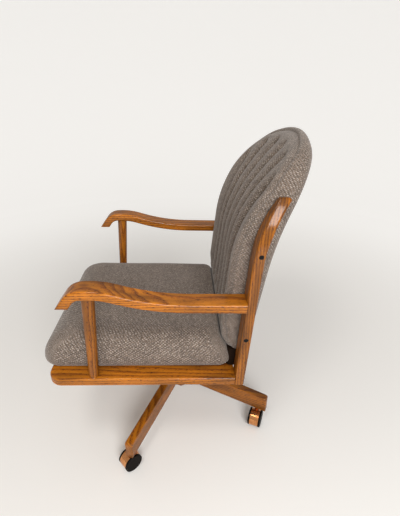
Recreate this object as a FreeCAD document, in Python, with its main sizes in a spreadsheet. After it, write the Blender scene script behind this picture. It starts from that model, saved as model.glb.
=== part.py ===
"""Bankers swivel chair: oak arms and base, tweed seat and channel back, four hooded casters.

Millimetres. The floor is z = 0, the swivel axis is the Z axis and the chair faces -Y,
so the sitter's left is +X. Pieces of the seat are drawn in the seat's own frame, which
leans back by seat_lean about the tilt pin, and their Placement turns them into place.
"""
import FreeCAD, Part
import math
import os

import Sketcher

from FreeCAD import Placement, Rotation, Vector

# Driving dimensions: name, value
SIZES = [
    # Caster: stem circle, wheel pair, hood
    ("wheel_radius", 29.0),
    ("caster_width", 43.2),
    ("cheek_thickness", 6.0),
    ("wheel_chamfer", 1.0),
    ("wheel_gap", 0.6),
    ("drum_gap", 0.9),
    ("caster_trail", 20.0),
    ("stem_inset", 31.5),
    ("stem_radius", 4.0),
    ("stem_socket", 9.5),
    ("stem_groove_drop", 8.0),
    ("stem_groove_width", 3.0),
    ("stem_groove_depth", 0.8),
    ("stem_tip", 1.5),
    ("axle_radius", 3.0),
    ("axle_end", 1.0),
    ("hood_inset", 0.4),
    ("hood_wall", 2.2),
    ("hood_front_angle", 35.0),
    ("hood_rear_angle", 10.0),
    ("hood_web", 4.0),
    ("hood_web_angle", 30.0),
    ("hood_boss_radius", 7.5),
    ("hood_boss_above_wheel", 4.0),
    ("stem_collar", 1.5),
    ("stem_above_boss", 40.0),
    ("socket_wall", 1.5),
    ("socket_flange_radius", 9.5),
    ("socket_flange_gap", 0.2),
    ("socket_end", 3.0),
    # Base: four legs let into a square hub
    ("first_leg_angle", -25.9),
    ("leg_reach", 343.5),
    ("leg_width", 26.0),
    ("leg_above_wheel", 3.0),
    ("leg_tip_height", 57.0),
    ("leg_rise", 28.2),
    ("leg_root_height", 65.4),
    ("leg_tip_round", 9.0),
    ("leg_ease", 3.5),
    ("hub_size", 88.0),
    ("hub_below_legs", 4.2),
    ("hub_height", 80.0),
    ("hub_corner", 14.0),
    ("leg_bolt_radius", 5.0),
    ("leg_bolt_length", 80.0),
    ("leg_bolt_start", 30.0),
    ("leg_bolt_drop", 17.0),
    ("leg_bolt_rise", 13.0),
    # Column and swivel
    ("column_radius", 25.4),
    ("column_wall", 3.0),
    ("column_above_hub_foot", 10.0),
    ("column_below_tilt_axis", 49.0),
    ("bush_length", 30.0),
    ("bush_flange", 3.0),
    ("spindle_radius", 14.0),
    ("spindle_below_column", 9.0),
    ("spindle_below_tilt_axis", 14.0),
    ("spindle_collar_radius", 23.0),
    ("spindle_collar", 2.0),
    ("washer_thickness", 2.0),
    ("clip_groove_depth", 2.0),
    ("clip_thickness", 2.0),
    ("clip_radius", 19.0),
    ("clip_play", 0.1),
    ("clip_gap", 0.5),
    # Tilt control
    ("housing_width", 82.0),
    ("housing_wall", 4.0),
    ("housing_height", 56.0),
    ("housing_front", 135.0),
    ("housing_rear", 45.0),
    ("bridge_depth", 25.0),
    ("tilt_axis_y", 18.0),
    ("tilt_axis_below_rails", 31.5),
    ("tilt_pin_radius", 6.0),
    ("pin_head_radius", 9.0),
    ("pin_head", 3.0),
    ("seat_lean", 1.746),
    ("tension_bolt_y", -100.0),
    ("tension_bolt_radius", 5.0),
    ("tension_bolt_hang", 96.0),
    ("tension_bolt_play", 0.5),
    ("trunnion_gap", 0.5),
    ("trunnion_radius", 7.0),
    ("trunnion_length", 26.0),
    ("spring_wire_radius", 3.0),
    ("spring_radius", 15.0),
    ("spring_turns", 6.0),
    ("cup_radius", 20.0),
    ("cup_hang", 72.0),
    ("cup_floor", 3.0),
    ("cup_rim", 7.0),
    ("cup_wall", 1.5),
    ("knob_radius", 28.0),
    ("knob_hang", 92.0),
    ("knob_height", 14.0),
    ("knob_neck_radius", 12.0),
    ("knob_hollows", 8.0),
    ("knob_hollow_radius", 7.0),
    ("knob_hollow_offset", 3.0),
    ("bumper_radius", 8.0),
    ("bumper_spacing", 50.0),
    # Seat plate and cross rails
    ("plate_thickness", 3.0),
    ("plate_width", 170.0),
    ("plate_front", -215.0),
    ("plate_rear", 125.0),
    ("plate_corner", 18.0),
    ("ear_gap", 1.0),
    ("ear_weld", 0.5),
    ("ear_depth", 44.0),
    ("ear_drop", 40.5),
    ("ear_thickness", 4.0),
    ("slot_length", 26.0),
    ("slot_shift", 5.0),
    ("slot_play", 0.8),
    ("pin_head_gap", 0.1),
    ("plate_bolt_radius", 4.0),
    ("plate_bolt_head_radius", 7.2),
    ("plate_bolt_head", 5.0),
    ("plate_bolt_cover", 4.0),
    ("plate_bolt_spacing", 130.0),
    ("cross_rail_depth", 55.0),
    ("front_cross_rail_y", -197.5),
    ("rear_cross_rail_y", 107.5),
    ("seat_screw_radius", 2.5),
    ("seat_screw_head_radius", 5.0),
    ("seat_screw_head", 3.0),
    ("seat_screw_sink", 0.5),
    ("seat_screw_cover", 2.0),
    ("seat_screw_spacing", 340.0),
    # Side rails
    ("rail_top", 360.5),
    ("rail_thickness", 25.0),
    ("frame_width", 578.0),
    ("rail_width", 62.0),
    ("rail_front", -354.0),
    ("rail_corner", 40.0),
    ("rail_ease", 5.0),
    # Seat board and cushion
    ("board_thickness", 12.0),
    ("board_bearing", 8.0),
    ("board_front", -338.0),
    ("board_rear", 146.0),
    ("board_corner", 46.0),
    ("cushion_side_padding", 10.5),
    ("cushion_front", -377.0),
    ("cushion_rear", 159.0),
    ("cushion_corner", 36.0),
    ("cushion_rear_corner", 29.0),
    ("cushion_belly", 24.0),
    ("cushion_height", 107.5),
    ("cushion_draw_in", 9.0),
    ("cushion_shoulder", 66.0),
    ("cushion_front_roll", 62.0),
    ("cushion_roll_power", 2.6),
    ("cushion_step", 34.0),
    ("cushion_rear_round", 5.0),
    ("tongue_side_gap", 5.0),
    ("tongue_rear", 183.0),
    ("tongue_below_back", 4.0),
    ("tongue_corner", 12.0),
    # Uprights
    ("upright_width", 48.0),
    ("upright_depth", 27.5),
    ("upright_foot_y", 178.9),
    ("upright_lean", 2.4),
    ("upright_straight", 378.5),
    ("upright_bend_radius", 290.0),
    ("upright_height", 537.5),
    ("upright_taper_start", 419.5),
    ("upright_taper_radius", 220.0),
    ("upright_ease", 6.0),
    ("lower_bolt_height", 159.0),
    ("upper_bolt_height", 404.0),
    ("back_bolt_radius", 4.0),
    ("back_bolt_grip", 28.0),
    ("back_bolt_head_radius", 5.8),
    ("back_bolt_head", 4.0),
    ("bolt_cap_radius", 6.0),
    ("bolt_cap_depth", 8.0),
    ("bolt_cap_dome", 1.0),
    ("bolt_cap_bevel", 1.5),
    # Arms
    ("arm_width", 58.0),
    ("arm_overhang", 11.0),
    ("arm_thickness", 25.5),
    ("arm_rise", 251.7),
    ("arm_straight_end", 36.0),
    ("arm_sweep_radius", 644.0),
    ("arm_sweep_angle", 16.7),
    ("arm_crest_radius", 227.0),
    ("arm_crest_angle", 5.0),
    ("arm_nose_radius", 55.0),
    ("arm_nose_angle", 55.0),
    ("arm_nose_drop", 15.7),
    ("arm_ease", 5.5),
    # Arm posts
    ("post_foot_inset", 16.5),
    ("post_foot_y", -228.0),
    ("post_head_inset", 13.0),
    ("post_head_y", -217.7),
    ("post_foot_radius", 13.3),
    ("post_head_radius", 17.0),
    ("post_seat", 3.0),
    ("post_tenon_radius", 9.0),
    ("post_tenon", 12.0),
    # Dowels
    ("dowel_radius", 4.0),
    ("dowel_length", 34.0),
    ("dowel_play", 0.2),
    ("scarf_stock", 5.0),
    # Back
    ("back_lift", 64.0),
    ("back_rise", 635.5),
    ("back_side_gap", 3.0),
    ("back_side_roll", 20.0),
    ("back_crown_radius", 452.0),
    ("back_corner_radius", 152.0),
    ("back_corner_width", 107.0),
    ("back_front_y", 143.25),
    ("back_front_slope", 4.5),
    ("back_front_bend_rise", 316.4),
    ("back_front_bend_radius", 407.0),
    ("back_front_upper_rise", 508.5),
    ("back_front_upper_radius", 710.0),
    ("back_rear_y", 236.2),
    ("back_rear_bend_rise", 294.5),
    ("back_rear_bend_radius", 904.0),
    ("back_rear_slope", 7.54),
    ("back_board_y", 184.5),
    ("back_board_bend_rise", 259.5),
    ("back_board_bend_radius", 504.0),
    ("back_board_thickness", 22.0),
    ("back_padding", 8.0),
    ("back_roll", 20.0),
    ("back_seam_drop", 24.0),
    ("back_crown_lift", -2.5),
    ("back_side_drop", 2.5),
    ("back_front_inset", 24.0),
    ("back_rear_inset", 6.0),
    ("back_foot_height", 40.0),
    ("back_foot_tuck", 22.0),
    ("back_foot_fade", 50.0),
    ("back_board_below_crest", 51.0),
    ("channel_count", 7.0),
    ("channel_depth", 9.0),
    ("back_dish", 10.0),
    # Clearances
    ("running_gap", 0.05),
    ("fixed_gap", 0.02),
    ("soft_gap", 0.3),
    ("end_gap", 0.5),
]

PAST = 1.0
OVERLAP = 20.0
# Depth of a cut that runs through the whole chair from front to rear
RIGHT_THROUGH = 1200.0
ARM_DOWEL_SPACING = 28.0
RAIL_DOWEL_SPACING = 24.0
# Heights of the seat cushion's sections, as shares of the way from its belly to its top
CUSHION_LEVELS = (0.0, 0.21, 0.42, 0.6, 0.76, 0.9, 0.98)
# Share of the height above the back's lower bend at which its front changes from arc to arc
FRONT_SPLIT = 0.62
SIDES = (("left", 1), ("right", -1))
CASTERS = (("front_left", -49.6), ("rear_left", -24.8), ("rear_right", 171.0), ("front_right", 214.0))

doc = FreeCAD.newDocument("bankers_swivel_chair")
parts = []


class Size:
    """A number together with the spreadsheet expression that gives it."""

    def __init__(self, value, text):
        self.value = float(value)
        self.text = text

    def __add__(self, other):
        other = as_size(other)
        return Size(self.value + other.value, f"({self.text} + {other.text})")

    def __sub__(self, other):
        other = as_size(other)
        return Size(self.value - other.value, f"({self.text} - {other.text})")

    def __mul__(self, other):
        other = as_size(other)
        return Size(self.value * other.value, f"({self.text} * {other.text})")

    def __truediv__(self, other):
        other = as_size(other)
        return Size(self.value / other.value, f"({self.text} / {other.text})")

    def __radd__(self, other):
        return as_size(other) + self

    def __rsub__(self, other):
        return as_size(other) - self

    def __rmul__(self, other):
        return as_size(other) * self

    def __neg__(self):
        return as_size(0) - self


def as_size(number):
    """A plain number becomes a Size that is written out in the expression."""
    return number if isinstance(number, Size) else Size(number, f"({float(number)!r})")


def sqrt(number):
    return Size(math.sqrt(number.value), f"sqrt({number.text})")


def sin(angle):
    return Size(math.sin(math.radians(angle.value)), f"sin({angle.text})")


def cos(angle):
    return Size(math.cos(math.radians(angle.value)), f"cos({angle.text})")


def tan(angle):
    return sin(angle) / cos(angle)


class Sheet:
    """The spreadsheet of driving dimensions; every alias is an attribute."""

    def __init__(self, rows):
        sheet = doc.addObject("Spreadsheet::Sheet", "Sizes")
        for line, (name, value) in enumerate(rows, start=1):
            sheet.set(f"A{line}", name)
            sheet.set(f"B{line}", str(value))
            sheet.setAlias(f"B{line}", name)
            setattr(self, name, Size(value, f"Sizes.{name}"))


S = Sheet(SIZES)
doc.recompute()

# Sizes of the base and swivel that follow from the driving ones
S.stem_circle_radius = S.leg_reach - S.stem_inset
S.hood_boss_top = S.wheel_radius * 2 + S.hood_boss_above_wheel
S.stem_top = S.hood_boss_top + S.stem_above_boss
S.leg_tip_bottom = S.wheel_radius * 2 + S.leg_above_wheel
S.leg_root_bottom = S.leg_tip_bottom + S.leg_rise
S.hub_bottom = S.leg_root_bottom - S.hub_below_legs
HUB_TOP = S.hub_bottom + S.hub_height
RAIL_BOTTOM = S.rail_top - S.rail_thickness
PLATE_BOTTOM = RAIL_BOTTOM - S.plate_thickness
S.tilt_axis_z = RAIL_BOTTOM - S.tilt_axis_below_rails
S.column_bottom = S.hub_bottom + S.column_above_hub_foot
S.spindle_bottom = S.column_bottom - S.spindle_below_column
S.spindle_top = S.tilt_axis_z - S.spindle_below_tilt_axis
COLUMN_TOP = S.tilt_axis_z - S.column_below_tilt_axis
HOUSING_BOTTOM = COLUMN_TOP + S.bush_flange + S.washer_thickness + S.spindle_collar
HOUSING_TOP = HOUSING_BOTTOM + S.housing_height
S.tension_bolt_bottom = HOUSING_BOTTOM - S.tension_bolt_hang
S.knob_bottom = HOUSING_BOTTOM - S.knob_hang
S.cup_bottom = HOUSING_BOTTOM - S.cup_hang

# Sizes of the frame, arms, seat and back that follow from the driving ones
S.rail_outer = S.frame_width / 2
S.rail_inner = S.rail_outer - S.rail_width
S.upright_inner = S.rail_outer - S.upright_width
S.arm_outer = S.rail_outer + S.arm_overhang
S.arm_top = S.rail_top + S.arm_rise
S.arm_nose_cut = S.arm_top - S.arm_nose_drop
S.post_foot_x = S.rail_outer - S.post_foot_inset
S.post_head_x = S.rail_outer - S.post_head_inset
S.board_half_width = S.rail_inner + S.board_bearing
S.cushion_half_width = S.board_half_width + S.cushion_side_padding
S.back_half_width = S.upright_inner - S.back_side_gap
S.back_seam_half_width = S.back_half_width - S.back_side_roll
S.back_corner_start = S.back_half_width - S.back_corner_width
S.back_board_half_width = S.back_half_width - S.back_padding
S.back_bottom = S.rail_top + S.back_lift
S.back_crest = S.rail_top + S.back_rise
S.back_front_bend_z = S.rail_top + S.back_front_bend_rise
S.back_front_upper_z = S.rail_top + S.back_front_upper_rise
S.back_rear_bend_z = S.rail_top + S.back_rear_bend_rise
S.back_board_bend_z = S.rail_top + S.back_board_bend_rise
SOCKET_BOTTOM = S.hood_boss_top + S.stem_collar + S.soft_gap
BOARD_TOP = S.rail_top + S.board_thickness

WORLD = Placement()
SEAT = Placement(Vector(), Rotation(Vector(1, 0, 0), -S.seat_lean.value),
                 Vector(0, S.tilt_axis_y.value, S.tilt_axis_z.value))
SKETCH_UPRIGHT = Placement(Vector(), Rotation(Vector(1, 0, 0), 90))
ALONG_X = Rotation(Vector(0, 1, 0), 90)
ALONG_Y = Rotation(Vector(1, 0, 0), -90)
UPWARDS = Rotation()


def place(x, y, z, rotation=UPWARDS):
    """A Placement from sizes or plain numbers."""
    return Placement(Vector(as_size(x).value, as_size(y).value, as_size(z).value), rotation)


# Sketches and features

def new_body(label, placement=WORLD):
    body = doc.addObject("PartDesign::Body", label)
    body.Label = label
    body.Placement = placement
    parts.append(body)
    return body


def origin_feature(body, role):
    return [item for item in body.Origin.OriginFeatures if item.Role == role][0]


def new_sketch(body, role, offset=WORLD):
    sketch = body.newObject("Sketcher::SketchObject", f"{body.Label}_sketch")
    sketch.AttachmentSupport = (origin_feature(body, role), [""])
    sketch.MapMode = "FlatFace"
    sketch.AttachmentOffset = offset
    return sketch


def bind(sketch, constraint, size):
    index = sketch.addConstraint(constraint)
    sketch.setExpression(f"Constraints[{index}]", size.text)


def arc_between(start, end, radius, centre_on_left):
    """The minor arc of that radius from start to end, as a counter-clockwise sketch arc."""
    chord = end - start
    half = chord.Length / 2
    left = Vector(-chord.y, chord.x, 0).normalize()
    reach = math.sqrt(max(radius * radius - half * half, 0.0))
    centre = start + chord * 0.5 + left * (reach if centre_on_left else -reach)
    first, last = (start, end) if centre_on_left else (end, start)
    angles = [math.atan2(point.y - centre.y, point.x - centre.x) for point in (first, last)]
    if angles[1] < angles[0]:
        angles[1] += 2 * math.pi
    circle = Part.Circle(centre, Vector(0, 0, 1), radius)
    return Part.ArcOfCircle(circle, angles[0], angles[1])


def outline(sketch, corners):
    """A closed outline. A corner is (x, y) or (x, y, bend): with a bend the edge that leaves
    it is an arc of that radius, whose centre is on the left of the way there if it is
    positive and on the right if it is negative."""
    corners = [tuple(as_size(number) for number in corner) for corner in corners]
    count = len(corners)
    points = [Vector(corner[0].value, corner[1].value, 0) for corner in corners]
    starts, ends = [], []
    for index, corner in enumerate(corners):
        start, end = points[index], points[(index + 1) % count]
        if len(corner) == 2:
            edge = sketch.addGeometry(Part.LineSegment(start, end), False)
            starts.append((edge, 1))
            ends.append((edge, 2))
            continue
        bend = corner[2]
        on_left = bend.value > 0
        edge = sketch.addGeometry(arc_between(start, end, abs(bend.value), on_left), False)
        starts.append((edge, 1 if on_left else 2))
        ends.append((edge, 2 if on_left else 1))
        bind(sketch, Sketcher.Constraint("Radius", edge, abs(bend.value)), bend if on_left else -bend)
    for index in range(count):
        joined = starts[(index + 1) % count]
        sketch.addConstraint(Sketcher.Constraint("Coincident", *ends[index], *joined))
    for (edge, end), corner, point in zip(starts, corners, points):
        bind(sketch, Sketcher.Constraint("DistanceX", -1, 1, edge, end, point.x), corner[0])
        bind(sketch, Sketcher.Constraint("DistanceY", -1, 1, edge, end, point.y), corner[1])
    return sketch


def circle(sketch, x, y, radius):
    x, y, radius = as_size(x), as_size(y), as_size(radius)
    shape = Part.Circle(Vector(x.value, y.value, 0), Vector(0, 0, 1), radius.value)
    edge = sketch.addGeometry(shape, False)
    bind(sketch, Sketcher.Constraint("DistanceX", -1, 1, edge, 3, x.value), x)
    bind(sketch, Sketcher.Constraint("DistanceY", -1, 1, edge, 3, y.value), y)
    bind(sketch, Sketcher.Constraint("Radius", edge, radius.value), radius)
    return sketch


def rectangle(sketch, x_low, x_high, y_low, y_high):
    return outline(sketch, [(x_low, y_low), (x_high, y_low), (x_high, y_high), (x_low, y_high)])


def volume(body):
    return body.Shape.Volume if body.Shape and not body.Shape.isNull() else 0.0


def pad(body, sketch, length, midplane=False, reverse=False):
    feature = body.newObject("PartDesign::Pad", f"{body.Label}_pad")
    feature.Profile = sketch
    feature.setExpression("Length", as_size(length).text)
    feature.Midplane = midplane
    feature.Reversed = reverse
    doc.recompute()
    return feature


def pocket(body, sketch, length, midplane=False, reverse=False):
    """A pocket has to take something away, so one that points into the air is an error."""
    before = volume(body)
    feature = body.newObject("PartDesign::Pocket", f"{body.Label}_pocket")
    feature.Profile = sketch
    feature.setExpression("Length", as_size(length).text)
    feature.Midplane = midplane
    feature.Reversed = reverse
    doc.recompute()
    if volume(body) > before - 1e-3:
        raise ValueError(f"a pocket in {body.Label} cuts nothing")
    return feature


def turn(body, profile, at=WORLD, cut=False):
    """A turned form: its profile is points of (radius, height along the axis), and at
    gives the axis's foot and direction in the body. With cut the form is taken away."""
    before = volume(body)
    flip = SKETCH_UPRIGHT
    sketch = outline(new_sketch(body, "XZ_Plane", flip.inverse() * at * flip), profile)
    kind = "PartDesign::Groove" if cut else "PartDesign::Revolution"
    feature = body.newObject(kind, f"{body.Label}_turn")
    feature.Profile = sketch
    feature.ReferenceAxis = (sketch, ["V_Axis"])
    feature.Angle = 360
    doc.recompute()
    if cut and volume(body) > before - 1e-3:
        raise ValueError(f"a cut in {body.Label} takes nothing away")
    return feature


def bar(radius, start, end):
    """The half profile of a plain round bar."""
    return [(0, start), (radius, start), (radius, end), (0, end)]


def ring(inner, outer, start, end):
    return [(inner, start), (outer, start), (outer, end), (inner, end)]


def drill(body, radius, start, end, at=WORLD):
    return turn(body, bar(radius, start, end), at, cut=True)


def repeat_round(body, feature, count):
    pattern = body.newObject("PartDesign::PolarPattern", f"{body.Label}_pattern")
    pattern.Originals = [feature]
    pattern.Axis = (origin_feature(body, "Z_Axis"), [""])
    pattern.Angle = 360
    pattern.Occurrences = count
    body.Tip = pattern
    doc.recompute()
    return pattern


def edges_where(shape, test):
    """Names of the edges whose middle point passes the test."""
    names = []
    for number, edge in enumerate(shape.Edges, start=1):
        middle = edge.valueAt((edge.FirstParameter + edge.LastParameter) / 2)
        if test(middle, edge):
            names.append(f"Edge{number}")
    return names


def fillet(body, radius, test):
    base = body.Tip
    names = edges_where(base.Shape, test)
    if not names:
        raise ValueError(f"no edge of {body.Label} to round")
    feature = body.newObject("PartDesign::Fillet", f"{body.Label}_fillet")
    feature.Base = (base, names)
    feature.setExpression("Radius", as_size(radius).text)
    doc.recompute()
    return feature


def near(value, size, tolerance=0.05):
    return abs(value - as_size(size).value) < tolerance


def is_upright_edge(edge):
    low, high = edge.BoundBox.ZMin, edge.BoundBox.ZMax
    return high - low > 1 and edge.BoundBox.XLength < 0.01 and edge.BoundBox.YLength < 0.01


def feature_part(label, shape, placement=WORLD):
    item = doc.addObject("Part::Feature", label)
    item.Label = label
    item.Shape = shape
    item.Placement = placement
    parts.append(item)
    return item


# Base

def leg_height_at(radius):
    """Bottom and top of a leg at that distance from the swivel axis."""
    share = (radius - S.hub_size / 2) / (S.leg_reach - S.hub_size / 2)
    bottom = S.leg_root_bottom + (S.leg_tip_bottom - S.leg_root_bottom) * share
    height = S.leg_root_height + (S.leg_tip_height - S.leg_root_height) * share
    return bottom, bottom + height


def leg_bolt_heights():
    middle = S.leg_root_bottom + S.leg_root_height / 2
    return middle - S.leg_bolt_drop, middle + S.leg_bolt_rise


def base_hub():
    """Square oak block: bored for the column, drilled for two bolts into each leg."""
    body = new_body("base_hub", Placement(Vector(), Rotation(Vector(0, 0, 1), S.first_leg_angle.value)))
    half = S.hub_size / 2
    cut = half - S.hub_corner
    corners = [(cut, -half), (half, -cut), (half, cut), (cut, half),
               (-cut, half), (-half, cut), (-half, -cut), (-cut, -half)]
    pad(body, outline(new_sketch(body, "XY_Plane", place(0, 0, S.hub_bottom)), corners), S.hub_height)
    drill(body, S.column_radius + S.fixed_gap, S.hub_bottom - PAST, HUB_TOP + PAST)
    for height in leg_bolt_heights():
        hole = drill(body, S.leg_bolt_radius + S.fixed_gap, S.leg_bolt_start, half + PAST,
                     place(0, 0, height, ALONG_X))
        repeat_round(body, hole, 4)
    return body


def base_leg(label, angle):
    """One oak leg: deep at the hub, tapering down to the caster, its outer top corner round."""
    body = new_body(label, Placement(Vector(), Rotation(Vector(0, 0, 1), angle)))
    root = S.hub_size / 2
    corners = [(root, S.leg_root_bottom), (S.leg_reach, S.leg_tip_bottom),
               (S.leg_reach, S.leg_tip_bottom + S.leg_tip_height),
               (root, S.leg_root_bottom + S.leg_root_height)]
    pad(body, outline(new_sketch(body, "XZ_Plane"), corners), S.leg_width, midplane=True)
    tip_top = (S.leg_tip_bottom + S.leg_tip_height).value
    fillet(body, S.leg_tip_round,
           lambda middle, edge: near(middle.x, S.leg_reach) and near(middle.z, tip_top))
    half = S.leg_width.value / 2
    fillet(body, S.leg_ease,
           lambda middle, edge: near(abs(middle.y), half) and middle.x > root.value + 1)
    for height in leg_bolt_heights():
        drill(body, S.leg_bolt_radius + S.fixed_gap, root - PAST,
              S.leg_bolt_start + S.leg_bolt_length + S.end_gap, place(0, 0, height, ALONG_X))
    socket = place(S.stem_circle_radius, 0, 0)
    seat = SOCKET_BOTTOM + S.socket_wall
    drill(body, S.socket_flange_radius + S.socket_flange_gap, S.leg_tip_bottom - OVERLAP, seat, socket)
    drill(body, S.stem_radius + S.socket_wall + S.running_gap + S.fixed_gap, seat - PAST,
          S.stem_top + S.socket_end + S.end_gap, socket)
    return body


def leg_angle(index):
    return S.first_leg_angle.value + 90 * index


def leg_bolts():
    """Eight threaded bars, two from the hub into each leg."""
    body = new_body("leg_bolts", Placement(Vector(), Rotation(Vector(0, 0, 1), S.first_leg_angle.value)))
    for height in leg_bolt_heights():
        rod = turn(body, bar(S.leg_bolt_radius, S.leg_bolt_start, S.leg_bolt_start + S.leg_bolt_length),
                   place(0, 0, height, ALONG_X))
        repeat_round(body, rod, 4)
    return body


def column_tube():
    body = new_body("column_tube")
    turn(body, ring(S.column_radius - S.column_wall, S.column_radius, S.column_bottom, COLUMN_TOP))
    return body


def column_bushes():
    """Two flanged bushes, pushed into the tube's ends."""
    body = new_body("column_bushes")
    inner = S.spindle_radius + S.running_gap
    outer = S.column_radius - S.column_wall - S.fixed_gap
    flange = S.column_radius - S.fixed_gap
    for end, way in ((COLUMN_TOP, 1), (S.column_bottom, -1)):
        turn(body, [(inner, end - S.bush_length * way), (outer, end - S.bush_length * way), (outer, end),
                    (flange, end), (flange, end + S.bush_flange * way), (inner, end + S.bush_flange * way)])
    return body


def caster_sockets():
    """Four flanged steel sleeves, one in each leg."""
    body = new_body("caster_sockets", Placement(Vector(), Rotation(Vector(0, 0, 1), S.first_leg_angle.value)))
    bore = S.stem_radius + S.running_gap
    outer = bore + S.socket_wall
    seat = SOCKET_BOTTOM + S.socket_wall
    sleeve = turn(body, [(bore, SOCKET_BOTTOM), (S.socket_flange_radius, SOCKET_BOTTOM),
                         (S.socket_flange_radius, seat), (outer, seat),
                         (outer, S.stem_top + S.socket_end), (bore, S.stem_top + S.socket_end)],
                  place(S.stem_circle_radius, 0, 0))
    repeat_round(body, sleeve, 4)
    return body


# Casters

HALF_CASTER = S.caster_width / 2
CHEEK_INNER = HALF_CASTER - S.cheek_thickness
HOOD_RADIUS = S.wheel_radius - S.hood_inset
HOOD_BORE = HOOD_RADIUS - S.hood_wall
HOOD_HALF_WIDTH = CHEEK_INNER - S.wheel_gap


def caster_frame(index, swivel_angle):
    """The stem's axis at floor level, with +X the way the wheels trail."""
    angle = math.radians(leg_angle(index))
    reach = S.stem_circle_radius.value
    foot = Vector(reach * math.cos(angle), reach * math.sin(angle), 0)
    return Placement(foot, Rotation(Vector(0, 0, 1), swivel_angle))


def caster_hood(name, frame):
    """Cast hood: a curved cover over the treads, a web that carries the axle, a stem boss."""
    body = new_body(f"{name}_caster_hood", frame)
    front, rear, slope = S.hood_front_angle, S.hood_rear_angle, S.hood_web_angle
    trail, centre = S.caster_trail, S.wheel_radius
    front_end = (trail + HOOD_RADIUS * cos(front), centre - HOOD_RADIUS * sin(front))
    back_end = (trail - HOOD_RADIUS * cos(rear), centre - HOOD_RADIUS * sin(rear))
    top = (trail, centre + HOOD_RADIUS)
    cover = [(*front_end, HOOD_RADIUS), (*top, HOOD_RADIUS), back_end]
    pad(body, outline(new_sketch(body, "XZ_Plane"), cover), HOOD_HALF_WIDTH * 2, midplane=True)
    boss_base = centre + HOOD_BORE * sin(slope)
    turn(body, bar(S.hood_boss_radius, boss_base, S.hood_boss_top))
    inside = circle(new_sketch(body, "XZ_Plane"), trail, centre, HOOD_BORE)
    pocket(body, inside, HOOD_HALF_WIDTH * 4, midplane=True)
    web_radius = HOOD_BORE + S.hood_wall / 2
    web_low = web_radius * sin(slope)
    web_side = web_radius * cos(slope)
    web = [(trail + web_side, centre - web_low, web_radius), (trail, centre + web_radius, web_radius),
           (trail - web_side, centre - web_low)]
    pad(body, outline(new_sketch(body, "XZ_Plane"), web), S.hood_web, midplane=True)
    drill(body, S.axle_radius + S.fixed_gap, -HALF_CASTER, HALF_CASTER,
          place(trail, 0, centre, ALONG_Y))
    drill(body, S.stem_radius + S.fixed_gap, S.hood_boss_top - S.stem_socket - S.end_gap,
          S.hood_boss_top + PAST)
    return body


def caster_stem(name, frame):
    """Steel stem with a collar that rests on the hood's boss."""
    body = new_body(f"{name}_caster_stem", frame)
    collar = S.hood_boss_top + S.stem_collar
    radius, foot, tip = S.stem_radius, S.hood_boss_top - S.stem_socket, S.stem_tip
    groove = S.stem_top - S.stem_groove_drop
    groove_top = groove + S.stem_groove_width
    neck = radius - S.stem_groove_depth
    turn(body, [(0, foot), (radius, foot), (radius, S.hood_boss_top),
                (S.hood_boss_radius, S.hood_boss_top), (S.hood_boss_radius, collar), (radius, collar),
                (radius, groove), (neck, groove), (neck, groove_top), (radius, groove_top),
                (radius, S.stem_top - tip), (radius - tip, S.stem_top), (0, S.stem_top)])
    return body


def caster_axle(name, frame):
    body = new_body(f"{name}_caster_axle", frame)
    reach = CHEEK_INNER + S.axle_end
    turn(body, bar(S.axle_radius, -reach, reach), place(S.caster_trail, 0, S.wheel_radius, ALONG_Y))
    return body


def caster_wheel(name, letter, way, frame):
    """Solid wheel: a disc that meets the floor outside the hood, a smaller tread drum under it."""
    axis = Rotation(Vector(1, 0, 0), -90 * way)
    place_wheel = frame * place(S.caster_trail, 0, S.wheel_radius, axis)
    body = new_body(f"{name}_caster_wheel_{letter}", place_wheel)
    bore = S.axle_radius + S.running_gap
    start = S.hood_web / 2 + S.wheel_gap
    drum = HOOD_BORE - S.drum_gap
    edge, chamfer = S.wheel_radius, S.wheel_chamfer
    blind = CHEEK_INNER + S.axle_end + S.end_gap
    turn(body, [(bore, start), (drum, start), (drum, CHEEK_INNER), (edge, CHEEK_INNER),
                (edge, HALF_CASTER - chamfer), (edge - chamfer, HALF_CASTER), (0, HALF_CASTER),
                (0, blind), (bore, blind)])
    return body


def casters():
    for index, (name, swivel_angle) in enumerate(CASTERS):
        frame = caster_frame(index, swivel_angle)
        caster_hood(name, frame)
        caster_stem(name, frame)
        caster_axle(name, frame)
        caster_wheel(name, "a", 1, frame)
        caster_wheel(name, "b", -1, frame)


# Swivel and tilt control

def spindle():
    body = new_body("spindle")
    collar_bottom = HOUSING_BOTTOM - S.spindle_collar
    radius = S.spindle_radius
    groove = radius - S.clip_groove_depth
    clip_bottom = clip_level()
    clip_top = clip_bottom + S.clip_thickness + S.clip_play
    turn(body, [(0, S.spindle_bottom), (radius, S.spindle_bottom), (radius, clip_bottom),
                (groove, clip_bottom), (groove, clip_top), (radius, clip_top), (radius, collar_bottom),
                (S.spindle_collar_radius, collar_bottom), (S.spindle_collar_radius, HOUSING_BOTTOM),
                (radius, HOUSING_BOTTOM), (radius, S.spindle_top), (0, S.spindle_top)])
    return body


def clip_level():
    return S.column_bottom - S.bush_flange - S.clip_thickness - S.clip_gap


def spindle_clip():
    """Spring clip that keeps the spindle in the column when the chair is lifted."""
    body = new_body("spindle_clip")
    low = clip_level() + S.clip_play / 2
    turn(body, ring(S.spindle_radius - S.clip_groove_depth + S.fixed_gap, S.clip_radius,
                    low, low + S.clip_thickness))
    return body


def thrust_washer():
    body = new_body("thrust_washer")
    low = COLUMN_TOP + S.bush_flange
    turn(body, ring(S.spindle_radius + S.running_gap, S.spindle_collar_radius, low, low + S.washer_thickness))
    return body


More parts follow.
